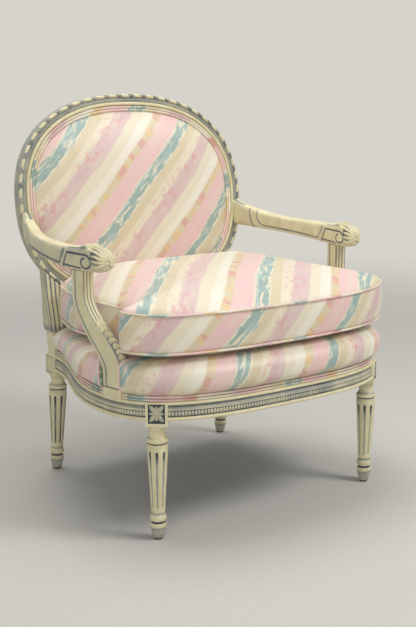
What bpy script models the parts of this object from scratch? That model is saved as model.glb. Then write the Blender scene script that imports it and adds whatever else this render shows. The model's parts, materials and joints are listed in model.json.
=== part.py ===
"""Bergere armchair with a medallion back: painted show-wood frame, sprung seat and a loose T-cushion.

Metres, +Z up. The chair faces -Y and stands on Z = 0. "left" is the -X side.
The construction is laid out from the line through the two front legs (Y = 0 there) and is then
carried by one empty, so that the finished chair stands centred on the origin.
"""
import math

import bmesh
import bpy
import numpy as np
from mathutils import Matrix, Vector

# Clearances
GAP = 0.0003                # between pieces that touch
CUSHION_CLEARANCE = 0.002   # between the loose cushion and the arm posts
DECK_GAP = 0.003            # between the deck and the border round it
LINING_GAP = 0.0008         # between the back's linings and the faceted inside of its frame

# Seat plan: the outer lower edge of the seat rails
SEAT_HALF_WIDTH = 0.346
SEAT_WIDEST_Y = 0.130
SEAT_FRONT_BOW = 0.072
SEAT_CORNER_POWER = 2.8
SEAT_REAR_NARROWING = 0.084
SEAT_REAR_Y = 0.470

# Seat rails
RAIL_HEIGHT = 0.035
RAIL_DEPTH = 0.040
RAIL_FILLET_SETBACK = 0.004
RAIL_REBATE = 0.0145
RAIL_REBATE_HEIGHT = 0.005
TENON_THICKNESS = 0.009
TENON_HEIGHT = 0.020
TENON_LENGTH = 0.013

# Legs
FRONT_LEG_SIDE_INSET = 0.066
FRONT_LEG_INSET = 0.019
REAR_LEG_SIDE_INSET = 0.022
REAR_LEG_SETBACK = 0.0057
REAR_LEG_RAKE = 0.0176
LEG_TURNED_HEIGHT = 0.2325
BLOCK_DROP = 0.0135         # how far the leg blocks hang below the rails
LEG_SIDES = 24
FLUTE_DEPTH = 0.0030
FRONT_BLOCK = 0.043
REAR_BLOCK = 0.041
PANEL_WIDTH = 0.030
PANEL_MARGIN = 0.0055
PANEL_DEPTH = 0.003
ROSETTE_RADIUS = 0.0125
GLIDE_RADIUS = 0.009
GLIDE_HEIGHT = 0.003

# Rear uprights
UPRIGHT_PLAIN = 0.033
UPRIGHT_PLAIN_TOP = 0.050
UPRIGHT_REEDED = 0.046
UPRIGHT_REEDED_DEPTH = 0.042
REED_DEPTH = 0.0018

# Medallion back
BACK_RAKE = math.radians(7.5)
BACK_FOOT_RISE = 0.095      # from the seat rails up to the medallion
BACK_SETBACK = -0.004
BACK_NARROWER = 0.038       # half width of the medallion, less than the seat's
BACK_HALF_HEIGHT = 0.245
BACK_POWER = 2.35
BACK_FRAME_WIDTH = 0.0265
BACK_FRAME_DEPTH = 0.029
CREST_END = math.radians(30)
LOWER_RAIL_END = math.radians(-44)

# Arms and arm posts
ARM_BOTTOM_RISE = 0.246
ARM_HEIGHT = 0.038
ARM_WIDTH = 0.030
ARM_SCROLL_DROP = 0.007
ARM_SCROLL_WIDTH = 0.040
ARM_TIP_Y = 0.094
ARM_NOSE = 0.030            # length of the rounded knob before the scroll
ARM_ROOT_RISE = 0.040       # how far the arm flares up the back frame
ARM_ROOT_SLOPE = -0.35      # how the arm turns in toward the back, in plan
POST_Y = 0.075
POST_SETBACK = 0.0045
POST_WIDTH = 0.028
POST_BASE_DEPTH = 0.0565
POST_TOP_DEPTH = 0.0375
POST_SWEEP = 0.0965
POST_BEVEL = 0.004
POST_TENON = 0.014

# Seat upholstery
DECK_RISE = 0.0795
BORDER_BULGE = 0.009
BORDER_DEPTH = 0.045
WELT_RADIUS = 0.0036
WEB_THICKNESS = 0.0015
WEB_WIDTH = 0.050
BURLAP_THICKNESS = 0.0015
DECK_PAD_THICKNESS = 0.036
COVER_THICKNESS = 0.0009
SPRING_END_RADIUS = 0.036
SPRING_WAIST_RADIUS = 0.024
SPRING_WIRE_RADIUS = 0.0016
SPRING_TURNS = 4

# Loose cushion
CUSHION_EAR_SETBACK = 0.005
CUSHION_FRONT_SETBACK = 0.016
CUSHION_EAR_POWER = 2.6
CUSHION_BACK_SETBACK = 0.030
CUSHION_BACK_BOW = 0.013
CUSHION_BOXING = 0.081
CUSHION_CROWN = 0.057
CUSHION_WELT_LIFT = 0.0065
CUSHION_BULGE = 0.005

# Back upholstery
BACK_PAD_CROWN = 0.034
OUTSIDE_BACK_CROWN = 0.005

SEAT_REAR_HALF_WIDTH = SEAT_HALF_WIDTH - SEAT_REAR_NARROWING
FRONT_LEG_X = SEAT_HALF_WIDTH - FRONT_LEG_SIDE_INSET
REAR_LEG_X = SEAT_REAR_HALF_WIDTH - REAR_LEG_SIDE_INSET
REAR_LEG_Y = SEAT_REAR_Y + REAR_LEG_SETBACK
CUSHION_EAR_X = SEAT_HALF_WIDTH - CUSHION_EAR_SETBACK
CUSHION_BACK_Y = SEAT_REAR_Y - CUSHION_BACK_SETBACK
BACK_HALF_WIDTH = SEAT_HALF_WIDTH - BACK_NARROWER
RAIL_BOTTOM = LEG_TURNED_HEIGHT + BLOCK_DROP
RAIL_TOP = RAIL_BOTTOM + RAIL_HEIGHT
RAIL_REBATE_TOP = RAIL_BOTTOM + RAIL_REBATE_HEIGHT
DECK_TOP = RAIL_TOP + DECK_RISE
ARM_BOTTOM = RAIL_TOP + ARM_BOTTOM_RISE
ARM_TOP = ARM_BOTTOM + ARM_HEIGHT
SCROLL_BOTTOM = ARM_BOTTOM - ARM_SCROLL_DROP
BACK_CENTRE_Z = RAIL_TOP + BACK_FOOT_RISE + BACK_HALF_HEIGHT
HALF_FRAME = BACK_FRAME_DEPTH / 2


def back_plane_y(z):
    """The middle plane of the raked back, at a height."""
    return REAR_LEG_Y + BACK_SETBACK + (z - RAIL_TOP) * math.tan(BACK_RAKE)


BACK_CENTRE = Vector((0, back_plane_y(BACK_CENTRE_Z), BACK_CENTRE_Z))
BACK_UP = Vector((0, math.sin(BACK_RAKE), math.cos(BACK_RAKE)))
BACK_FRONT = Vector((0, -math.cos(BACK_RAKE), math.sin(BACK_RAKE)))
CHAIR_FRONT_Y = -SEAT_FRONT_BOW - BORDER_BULGE
CHAIR_BACK_Y = (BACK_CENTRE + BACK_UP * BACK_HALF_HEIGHT - BACK_FRONT * HALF_FRAME).y


# Scene and materials
def empty_scene():
    for obj in list(bpy.data.objects):
        bpy.data.objects.remove(obj, do_unlink=True)


def finish(name, colour, roughness, metallic=0.0):
    material = bpy.data.materials.new(name)
    material.use_nodes = True
    shader = material.node_tree.nodes["Principled BSDF"]
    shader.inputs["Base Color"].default_value = (*colour, 1)
    shader.inputs["Roughness"].default_value = roughness
    shader.inputs["Metallic"].default_value = metallic
    return material


def add_empty(name, place, parent=None):
    empty = bpy.data.objects.new(name, None)
    empty.location = place
    empty.parent = parent
    bpy.context.scene.collection.objects.link(empty)
    return empty


empty_scene()
CHAIR = add_empty("armchair", (0, -(CHAIR_FRONT_Y + CHAIR_BACK_Y) / 2, 0))
PAINT = finish("antiqued_cream_paint", (0.74, 0.68, 0.46), 0.5)
BEECH = finish("bare_beech", (0.55, 0.38, 0.22), 0.7)
FABRIC = finish("striped_satin", (0.80, 0.62, 0.56), 0.55)
WELTING = finish("welting", (0.82, 0.58, 0.55), 0.55)
JUTE = finish("jute_webbing", (0.45, 0.32, 0.17), 0.9)
BURLAP = finish("burlap", (0.52, 0.41, 0.26), 0.95)
CAMBRIC = finish("black_cambric", (0.03, 0.03, 0.03), 0.95)
STEEL = finish("spring_steel", (0.35, 0.35, 0.36), 0.35, 1.0)
GLIDE = finish("glide_nylon", (0.08, 0.07, 0.06), 0.5)


def place_object(obj, material, parent):
    obj.data.materials.append(material)
    obj.parent = parent
    if parent is not CHAIR:
        obj.matrix_parent_inverse = Matrix.Translation(-parent.location)
    bpy.context.scene.collection.objects.link(obj)
    return obj


def add_solid(name, bm, material, parent=CHAIR, smooth=35):
    """One named object from a closed bmesh."""
    bmesh.ops.recalc_face_normals(bm, faces=bm.faces)
    mesh = bpy.data.meshes.new(name)
    bm.to_mesh(mesh)
    bm.free()
    mesh.shade_smooth()
    mesh.set_sharp_from_angle(angle=math.radians(smooth))
    return place_object(bpy.data.objects.new(name, mesh), material, parent)


def loft(rings, loop=False, ladder=False):
    """Skin a row of rings of equal count; the two ends are capped unless the row closes on itself.

    A ladder cap joins the first half of a ring to the second half rung by rung, which suits a bent end.
    """
    bm = bmesh.new()
    rows = [[bm.verts.new(point) for point in ring] for ring in rings]
    following = rows[1:] + rows[:1] if loop else rows[1:]
    for low, high in zip(rows, following):
        for i in range(len(low)):
            j = (i + 1) % len(low)
            bm.faces.new((low[i], low[j], high[j], high[i]))
    for row in () if loop else (rows[0], rows[-1]):
        if not ladder:
            bm.faces.new(row)
            continue
        for i in range(len(row) // 2 - 1):
            bm.faces.new((row[i], row[i + 1], row[-2 - i], row[-1 - i]))
    return bm


def slab(outline, z_low, z_high):
    """A flat plate over a plan outline."""
    return loft([[(x, y, z_low) for x, y in outline], [(x, y, z_high) for x, y in outline]])


def turned_box(centre, along, up, size):
    """A box whose first axis runs along a direction: size is (along, across, up)."""
    along = Vector(along).normalized()
    up = Vector(up).normalized()
    across = up.cross(along)
    bm = bmesh.new()
    bmesh.ops.create_cube(bm, size=1)
    turn = Matrix((along, across, up)).transposed().to_4x4()
    bmesh.ops.scale(bm, vec=size, verts=bm.verts)
    bmesh.ops.transform(bm, matrix=Matrix.Translation(centre) @ turn, verts=bm.verts)
    return bm


def shape_with(obj, bm, operation, name):
    """Cut or join a hidden guide shape into a solid."""
    guide = add_solid(name, bm, PAINT)
    guide.hide_render = True
    guide.display_type = "WIRE"
    modifier = obj.modifiers.new(name, "BOOLEAN")
    modifier.operation = operation
    modifier.object = guide


def mortise_and_tenon(tenoned, mortised, root, along, up, size):
    """A tenon grown from one piece into a socket in the other; root lies on the shoulder."""
    length, across, height = size
    along = Vector(along).normalized()
    buried = length / 2
    tenon = turned_box(root + along * (length - buried) / 2, along, up, (length + buried, across, height))
    label = f"{tenoned.name}_into_{mortised.name}"
    shape_with(tenoned, tenon, "UNION", f"tenon_{label}")
    room = 2 * GAP
    reach = length + room
    socket_size = (reach + buried, across + room, height + room)
    socket = turned_box(root + along * (reach - buried) / 2, along, up, socket_size)
    shape_with(mortised, socket, "DIFFERENCE", f"mortise_{label}")


# Seat plan
def superellipse(angle, a, b, power):
    """A point of a superellipse at a polar angle."""
    c, s = math.cos(angle), math.sin(angle)
    radius = (abs(c / a) ** power + abs(s / b) ** power) ** (-1 / power)
    return radius * c, radius * s


def seat_half_plan(steps=400):
    """The right half of the seat plan: a bowed front that runs round the corner, then a serpentine side."""
    depth = SEAT_WIDEST_Y + SEAT_FRONT_BOW
    points = []
    for angle in np.linspace(-math.pi / 2, 0, steps):
        x, y = superellipse(angle, SEAT_HALF_WIDTH, depth, SEAT_CORNER_POWER)
        points.append((x, y + SEAT_WIDEST_Y))
    narrowing = SEAT_HALF_WIDTH - SEAT_REAR_HALF_WIDTH
    for t in np.linspace(0, 1, steps)[1:]:
        x = SEAT_HALF_WIDTH - narrowing * (1 - math.cos(math.pi * t)) / 2
        points.append((x, SEAT_WIDEST_Y + t * (SEAT_REAR_Y - SEAT_WIDEST_Y)))
    return np.array(points)


HALF_PLAN = seat_half_plan()
HALF_RUN = np.concatenate(([0], np.cumsum(np.hypot(*np.diff(HALF_PLAN, axis=0).T))))
RUN = np.concatenate((-HALF_RUN[:0:-1], HALF_RUN))
PLAN = np.concatenate((HALF_PLAN[:0:-1] * (-1, 1), HALF_PLAN))
SLOPE = np.gradient(PLAN, RUN, axis=0)


def plan_at(run):
    """Place and outward normal on the seat plan, by the length run from its front centre (+ is right)."""
    place = Vector((np.interp(run, RUN, PLAN[:, 0]), np.interp(run, RUN, PLAN[:, 1]), 0))
    normal = Vector((np.interp(run, RUN, SLOPE[:, 1]), -np.interp(run, RUN, SLOPE[:, 0]), 0))
    return place, normal.normalized()


def run_at_y(y):
    """Length run along the right half of the plan to where it passes a given Y."""
    return float(np.interp(y, HALF_PLAN[:, 1], HALF_RUN))


def half_width_at(y):
    return float(np.interp(y, HALF_PLAN[:, 1], HALF_PLAN[:, 0]))


def front_y_at(x):
    return float(np.interp(abs(x), HALF_PLAN[:len(HALF_PLAN) // 2, 0], HALF_PLAN[:len(HALF_PLAN) // 2, 1]))


def inset_plan(run, inset):
    place, normal = plan_at(run)
    return place - normal * inset


def run_crossing(point, direction, near, inset=0.0, window=0.09):
    """Length run where the plan, moved in, crosses the plane through a point square to a direction."""
    runs = np.linspace(near - window, near + window, 361)
    reach = np.array([(inset_plan(run, inset) - point).dot(direction) for run in runs])
    if reach[0] > reach[-1]:
        runs, reach = runs[::-1], reach[::-1]
    return float(np.interp(0, reach, runs))


def signed_angle(a, b):
    return math.atan2(a.x * b.y - a.y * b.x, a.x * b.x + a.y * b.y)


def sweep_on_plan(profile, starts, ends, steps, lean_start=0.0, lean_end=0.0):
    """Carry a profile of (inset, height) along the seat plan; each point may start and end at its own run."""
    rings = []
    for i in range(steps + 1):
        t = i / steps
        lean = lean_start * (1 - t) ** 3 + lean_end * t ** 3
        ring = []
        for (inset, z), start, end in zip(profile, starts, ends):
            place, normal = plan_at(start + (end - start) * t)
            normal.rotate(Matrix.Rotation(lean, 3, "Z"))
            point = place - normal * inset / math.cos(lean)
            ring.append((point.x, point.y, z))
        rings.append(ring)
    return rings


def leg_run():
    """Length run at which the front leg stands."""
    runs = np.linspace(0, run_at_y(SEAT_WIDEST_Y), 600)
    across = [inset_plan(run, FRONT_LEG_INSET).x for run in runs]
    return float(np.interp(FRONT_LEG_X, across, runs))


LEG_RUN = leg_run()
LEG_NORMAL = {side: plan_at(side * LEG_RUN)[1] for side in (-1, 1)}
LEG_PLACE = {side: inset_plan(side * LEG_RUN, FRONT_LEG_INSET) for side in (-1, 1)}
SIDES = {-1: "left", 1: "right"}


def ease(t):
    """A smooth step from 0 to 1."""
    return (1 - math.cos(math.pi * min(max(t, 0), 1))) / 2


# Legs
def leg_turning():
    """The turned outline from the foot up: (share of the turned height, radius, flute depth)."""
    return (
        (0.112, 0.0158, 0), (0.142, 0.0158, 0), (0.161, 0.0125, 0),
        (0.176, 0.0162, 0), (0.215, 0.0162, 0), (0.232, 0.0128, 0),
        (0.245, 0.0138, 0), (0.288, 0.0147, 0), (0.318, 0.0152, FLUTE_DEPTH),
        (0.766, 0.0204, FLUTE_DEPTH), (0.800, 0.0207, 0), (0.825, 0.0207, 0),
        (0.839, 0.0178, 0), (0.852, 0.0212, 0), (0.880, 0.0212, 0),
        (0.912, 0.0152, 0), (0.999, 0.0175, 0),
    )


FOOT_BOTTOM = GLIDE_HEIGHT + GAP
FOOT_RADIUS = 0.011


def round_ring(centre, radius, flute, facing):
    """A turned ring; every third point sinks by the flute depth, which makes a third as many flutes."""
    ring = []
    for k in range(LEG_SIDES):
        angle = facing + 2 * math.pi * k / LEG_SIDES
        r = radius - (flute if k % 3 == 0 else 0)
        ring.append(centre + Vector((r * math.cos(angle), r * math.sin(angle), 0)))
    return ring


def square_ring(centre, width, facing, depth=None, reed=0.0):
    """A square ring of as many points as the turned ones; every second point sinks where it is reeded."""
    ring = []
    for k in range(LEG_SIDES):
        angle = 2 * math.pi * k / LEG_SIDES
        half = width / 2 - (reed if k % 2 == 0 else 0)
        r = half / max(abs(math.cos(angle)), abs(math.sin(angle)))
        flatten = (depth or width) / width
        across = Vector((r * math.cos(angle), flatten * r * math.sin(angle), 0))
        across.rotate(Matrix.Rotation(facing, 3, "Z"))
        ring.append(centre + across)
    return ring


def turned_leg_rings(place, rake, facing):
    """Rings of the turned leg; a raked leg's foot stands behind its block."""
    def centre(z):
        back = rake * (1 - z / LEG_TURNED_HEIGHT)
        return Vector((place.x, place.y + back, z))

    rings = [round_ring(centre(FOOT_BOTTOM), FOOT_RADIUS, 0, facing)]
    for share, radius, flute in leg_turning():
        rings.append(round_ring(centre(share * LEG_TURNED_HEIGHT), radius, flute, facing))
    return rings


def raised(place, z):
    return Vector((place.x, place.y, z))


def rosette(place, normal, centre_z):
    """Eight-petalled rosette on the floor of the sunk panel."""
    floor = FRONT_BLOCK / 2 - PANEL_DEPTH
    across = Vector((0, 0, 1)).cross(normal)
    rings = []
    for depth, size in ((-0.0006, 1.0), (0.0008, 1.0), (0.0022, 0.55)):
        ring = []
        for k in range(16):
            angle = 2 * math.pi * (k + 0.5) / 16
            r = ROSETTE_RADIUS * size * (1.0 if k % 2 == 0 else 0.62)
            offset = across * r * math.cos(angle) + Vector((0, 0, r * math.sin(angle)))
            ring.append(raised(place, centre_z) + normal * (floor + depth) + offset)
        rings.append(ring)
    return loft(rings)


def build_front_leg(side):
    place, normal = LEG_PLACE[side], LEG_NORMAL[side]
    facing = math.atan2(normal.y, normal.x)
    rings = turned_leg_rings(place, 0.0, facing)
    for z in (LEG_TURNED_HEIGHT, RAIL_TOP):
        rings.append(square_ring(raised(place, z), FRONT_BLOCK, facing))
    leg = add_solid(f"front_leg_{SIDES[side]}", loft(rings), PAINT)
    panel_height = RAIL_TOP - LEG_TURNED_HEIGHT - 2 * PANEL_MARGIN
    centre_z = (RAIL_TOP + LEG_TURNED_HEIGHT) / 2
    face = raised(place, centre_z) + normal * FRONT_BLOCK / 2
    recess = turned_box(face, normal, (0, 0, 1), (2 * PANEL_DEPTH, PANEL_WIDTH, panel_height))
    shape_with(leg, recess, "DIFFERENCE", f"panel_{SIDES[side]}")
    shape_with(leg, rosette(place, normal, centre_z), "UNION", f"rosette_{SIDES[side]}")
    return leg


UPRIGHT_PLAIN_Z = RAIL_TOP + UPRIGHT_PLAIN_TOP
UPRIGHT_STEP = 0.006


def upright_centre(side, z):
    return Vector((side * REAR_LEG_X, back_plane_y(z), z))


def medallion_plate():
    """The space of the medallion, with its clearance: what the uprights are scribed against."""
    rings = []
    for depth in (-2 * BACK_FRAME_DEPTH, 2 * BACK_FRAME_DEPTH):
        ring = []
        for k in range(120):
            angle = 2 * math.pi * k / 120
            ring.append(on_back(*back_outline(angle, -GAP), depth))
        rings.append(ring)
    return loft(rings)


def build_rear_leg(side):
    """Raked turned leg, block, plain neck and reeded upright, cut from one timber."""
    place = Vector((side * REAR_LEG_X, REAR_LEG_Y, 0))
    rings = turned_leg_rings(place, REAR_LEG_RAKE, 0.0)
    for z in (LEG_TURNED_HEIGHT, RAIL_TOP):
        rings.append(square_ring(raised(place, z), REAR_BLOCK, 0.0))
    for z in (RAIL_TOP + GAP, UPRIGHT_PLAIN_Z):
        rings.append(square_ring(upright_centre(side, z), UPRIGHT_PLAIN, 0.0))
    reeds_start = UPRIGHT_PLAIN_Z + UPRIGHT_STEP
    top = BACK_CENTRE_Z - BACK_HALF_HEIGHT / 2
    for t in (0, 0.35, 0.7, 1):
        z = reeds_start + (top - reeds_start) * t
        depth = UPRIGHT_REEDED_DEPTH + (BACK_FRAME_DEPTH - UPRIGHT_REEDED_DEPTH) * ease(t / 0.7)
        rings.append(square_ring(upright_centre(side, z), UPRIGHT_REEDED, 0.0, depth, REED_DEPTH))
    leg = add_solid(f"rear_leg_{SIDES[side]}", loft(rings), PAINT)
    shape_with(leg, medallion_plate(), "DIFFERENCE", f"scribe_{SIDES[side]}")
    return leg


def build_glide(name, place):
    rings = []
    for z, share in ((0, 0.8), (0.0008, 1.0), (GLIDE_HEIGHT, 1.0)):
        ring = []
        for k in range(12):
            angle = 2 * math.pi * k / 12
            r = GLIDE_RADIUS * share
            ring.append((place.x + r * math.cos(angle), place.y + r * math.sin(angle), z))
        rings.append(ring)
    add_solid(name, loft(rings), GLIDE)


# Seat rails
def rail_profile():
    """Moulded rail in section, as (inset, height): torus, groove, bead band, cove, fillet, plain inside."""
    h = RAIL_HEIGHT
    f = RAIL_FILLET_SETBACK
    moulding = [
        (0.0020, 0), (0, 0.11 * h), (0.0030, 0.26 * h), (0.0050, 0.29 * h), (0.0025, 0.34 * h),
        (0.0025, 0.52 * h), (f + 0.004, 0.62 * h), (f + 0.004, 0.74 * h), (f, 0.83 * h), (f, h),
    ]
    inside = [(RAIL_DEPTH, h), (RAIL_DEPTH, RAIL_REBATE_HEIGHT),
              (RAIL_REBATE, RAIL_REBATE_HEIGHT), (RAIL_REBATE, 0)]
    return [(inset, RAIL_BOTTOM + z) for inset, z in moulding + inside]


RAIL_MIDDLE = Vector((0, 0, RAIL_BOTTOM + (RAIL_HEIGHT + RAIL_REBATE_HEIGHT) / 2))
TENON_SIZE = (TENON_LENGTH, TENON_THICKNESS, TENON_HEIGHT)


def leg_shoulder(side, toward, clear=GAP):
    """Run and lean of a rail's end against a front leg block; toward is +1 on the block's far side."""
    run, normal, place = side * LEG_RUN, LEG_NORMAL[side], LEG_PLACE[side]
    tangent = Vector((-normal.y, normal.x, 0))
    shoulder = place + tangent * toward * side * (FRONT_BLOCK / 2 + clear)
    end = run_crossing(shoulder, tangent, run)
    return end, signed_angle(plan_at(end)[1], normal), shoulder, tangent * toward * side


def build_rails(front_legs, rear_legs):
    profile = rail_profile()
    count = len(profile)
    up = Vector((0, 0, 1))
    left, right = leg_shoulder(-1, -1), leg_shoulder(1, -1)
    rings = sweep_on_plan(profile, [left[0]] * count, [right[0]] * count, 24, left[1], right[1])
    front = add_solid("front_seat_rail", loft(rings), PAINT)
    for side, (_, _, shoulder, outward) in ((-1, left), (1, right)):
        mortise_and_tenon(front, front_legs[side], shoulder + RAIL_MIDDLE, -outward, up, TENON_SIZE)
    rails = {}
    for side, name in SIDES.items():
        start, lean, shoulder, outward = leg_shoulder(side, 1)
        shoulder_y = REAR_LEG_Y - REAR_BLOCK / 2 - GAP
        end = side * run_at_y(shoulder_y)
        square = signed_angle(plan_at(end)[1], Vector((side, 0, 0)))
        rings = sweep_on_plan(profile, [start] * count, [end] * count, 22, lean, square)
        rail = add_solid(f"side_seat_rail_{name}", loft(rings), PAINT)
        mortise_and_tenon(rail, front_legs[side], shoulder + RAIL_MIDDLE, -outward, up, TENON_SIZE)
        root = Vector((side * REAR_LEG_X, shoulder_y, RAIL_MIDDLE.z))
        mortise_and_tenon(rail, rear_legs[side], root, (0, 1, 0), up, TENON_SIZE)
        rails[side] = rail
    half = REAR_LEG_X - REAR_BLOCK / 2 - GAP
    outer_y = REAR_LEG_Y + REAR_BLOCK / 2
    rings = [[(x, outer_y - inset, z) for inset, z in profile] for x in (-half, half)]
    back = add_solid("back_seat_rail", loft(rings), PAINT)
    for side in SIDES:
        root = Vector((side * half, REAR_LEG_Y + TENON_THICKNESS / 2, RAIL_MIDDLE.z))
        mortise_and_tenon(back, rear_legs[side], root, (side, 0, 0), up, TENON_SIZE)
    return rails


CORNER_BLOCK = 0.045
CORNER_BLOCK_INSET = 0.002


def build_corner_blocks():
    low, high = RAIL_REBATE_TOP + CORNER_BLOCK_INSET, RAIL_TOP - CORNER_BLOCK_INSET
    for side, name in SIDES.items():
        normal, place = LEG_NORMAL[side], LEG_PLACE[side]
        tangent = Vector((-normal.y, normal.x, 0))
        outline = []
        for depth, half in ((0, 0.45 * FRONT_BLOCK), (0.4 * CORNER_BLOCK, 0.9 * CORNER_BLOCK)):
            for sign in (-1, 1) if depth == 0 else (1, -1):
                point = place - normal * (FRONT_BLOCK / 2 + GAP + depth) + tangent * sign * half
                outline.append((point.x, point.y))
        add_solid(f"front_corner_block_{name}", slab(outline, low, high), BEECH)
        back_y = REAR_LEG_Y + REAR_BLOCK / 2 - RAIL_DEPTH - GAP
        outline = []
        for k in range(5):
            run = side * run_at_y(back_y - 1.4 * CORNER_BLOCK * (1 - k / 4))
            point = inset_plan(run, RAIL_DEPTH + GAP)
            outline.append((point.x, point.y))
        outline.append((side * (half_width_at(back_y) - RAIL_DEPTH - 1.4 * CORNER_BLOCK), back_y))
        add_solid(f"rear_corner_block_{name}", slab(outline, low, high), BEECH)


# Medallion back frame
def on_back(u, v, depth):
    """A point in the plane of the back: across, up along the rake, and forward of the middle plane."""
    return BACK_CENTRE + Vector((u, 0, 0)) + BACK_UP * v + BACK_FRONT * depth


def back_outline(angle, inset):
    """A point of the medallion's outline, moved in from its outer edge."""
    u, v = superellipse(angle, BACK_HALF_WIDTH, BACK_HALF_HEIGHT, BACK_POWER)
    power = BACK_POWER - 1
    nu = math.copysign(abs(u / BACK_HALF_WIDTH) ** power / BACK_HALF_WIDTH, u)
    nv = math.copysign(abs(v / BACK_HALF_HEIGHT) ** power / BACK_HALF_HEIGHT, v)
    size = math.hypot(nu, nv)
    return u - inset * nu / size, v - inset * nv / size


def frame_profile():
    """Medallion moulding as (inset, depth): outer bead, cove and inner bead in front, plain behind."""
    w, h = BACK_FRAME_WIDTH, HALF_FRAME
    return [
        (0, -0.8 * h), (0, 0.6 * h), (0.10 * w, h), (0.30 * w, h), (0.38 * w, 0.7 * h),
        (0.60 * w, 0.65 * h), (0.72 * w, 0.95 * h), (0.90 * w, h), (w, 0.8 * h), (w, -h), (0.1 * w, -h),
    ]


def frame_arc(name, start, end, steps):
    slack = GAP / 2 / BACK_HALF_HEIGHT
    rings = []
    for i in range(steps + 1):
        angle = start + slack + (end - start - 2 * slack) * i / steps
        rings.append([on_back(*back_outline(angle, inset), depth) for inset, depth in frame_profile()])
    return add_solid(name, loft(rings), PAINT)


def build_back_frame():
    frame_arc("crest_rail", CREST_END, math.pi - CREST_END, 22)
    frame_arc("lower_back_rail", math.pi - LOWER_RAIL_END, 2 * math.pi + LOWER_RAIL_END, 16)
    return {
        1: frame_arc("back_stile_right", LOWER_RAIL_END, CREST_END, 14),
        -1: frame_arc("back_stile_left", math.pi - CREST_END, math.pi - LOWER_RAIL_END, 14),
    }


# Arm posts
POST_BOTTOM = RAIL_TOP + GAP
POST_TOP = SCROLL_BOTTOM - GAP
POST_HEIGHT = POST_TOP - POST_BOTTOM
POST_RUN = run_at_y(POST_Y)
POST_FOOT = {side: inset_plan(side * POST_RUN, POST_SETBACK + POST_WIDTH / 2) for side in SIDES}
POST_OUT = {side: plan_at(side * POST_RUN)[1] for side in SIDES}
POST_BACK = {side: Vector((-side * POST_OUT[side].y, side * POST_OUT[side].x, 0)) for side in SIDES}


def post_sweep(z):
    """The post stands upright at its foot, sweeps back, and is upright again under the arm."""
    return POST_SWEEP * ease(((z - POST_BOTTOM) / POST_HEIGHT - 0.183) / 0.62)


def post_half_depth(z):
    """Half the post's depth, which grows where the sweep slants it."""
    share = (z - POST_BOTTOM) / POST_HEIGHT
    square = POST_BASE_DEPTH + (POST_TOP_DEPTH - POST_BASE_DEPTH) * ease((share - 0.38) / 0.243)
    step = 0.001
    slant = (post_sweep(z + step) - post_sweep(z - step)) / (2 * step)
    return square / 2 * math.hypot(1, 0.8 * slant)


def post_point(side, out, back, z):
    """A point of a post, from its middle line at a height: outward and backward along the rail."""
    place = POST_FOOT[side] + POST_OUT[side] * out + POST_BACK[side] * (post_sweep(z) + back)
    return raised(place, z)


def post_ring(side, z):
    """Section of a post: bevelled corners, with three reeds on the front face above the husk."""
    half, reach, bevel = post_half_depth(z), POST_WIDTH / 2, POST_BEVEL
    reed = REED_DEPTH * ease(((z - POST_BOTTOM) / POST_HEIGHT - 0.42) / 0.1)
    across = [(-reach, -half + bevel), (-reach + bevel, -half)]
    flat = reach - bevel
    for out, sunk in ((-0.36 * flat, 1), (0, 0), (0.36 * flat, 1)):
        across.append((out, -half + sunk * reed))
    across += [(reach - bevel, -half), (reach, -half + bevel),
               (reach, half - bevel), (reach - bevel, half), (-reach + bevel, half), (-reach, half - bevel)]
    return [post_point(side, out, back, z) for out, back in across]


def build_post(side):
    shares = (0, 0.07, 0.15, 0.24, 0.33, 0.42, 0.52, 0.62, 0.74, 0.87, 1)
    heights = [POST_BOTTOM + POST_HEIGHT * share for share in shares]
    return add_solid(f"arm_post_{SIDES[side]}", loft([post_ring(side, z) for z in heights]), PAINT)


# Arms
RING_MIDDLE_X = BACK_HALF_WIDTH - BACK_FRAME_WIDTH / 2
ARM_SEAT = post_point(1, 0, 0, POST_TOP)
ARM_SLOPE = POST_BACK[1].x / POST_BACK[1].y
ARM_SCROLL_BACK = ARM_SEAT.y + POST_TOP_DEPTH / 2 + 2 * POST_BEVEL
ARM_BAR_START = ARM_SCROLL_BACK + 0.012
ARM_ROOT_Y = back_plane_y(ARM_TOP) - HALF_FRAME


def arm_middle(y):
    """The arm's middle line in plan: along the post before it, then bowed in to the back frame."""
    length = ARM_ROOT_Y - ARM_SEAT.y
    t = (y - ARM_SEAT.y) / length
    if t < 0:
        return ARM_SEAT.x + ARM_SLOPE * (y - ARM_SEAT.y)
    start = ARM_SEAT.x * (1 + 2 * t) * (1 - t) ** 2 + ARM_SLOPE * length * t * (1 - t) ** 2
    end = RING_MIDDLE_X * t ** 2 * (3 - 2 * t) - ARM_ROOT_SLOPE * length * t ** 2 * (1 - t)
    return start + end


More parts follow.
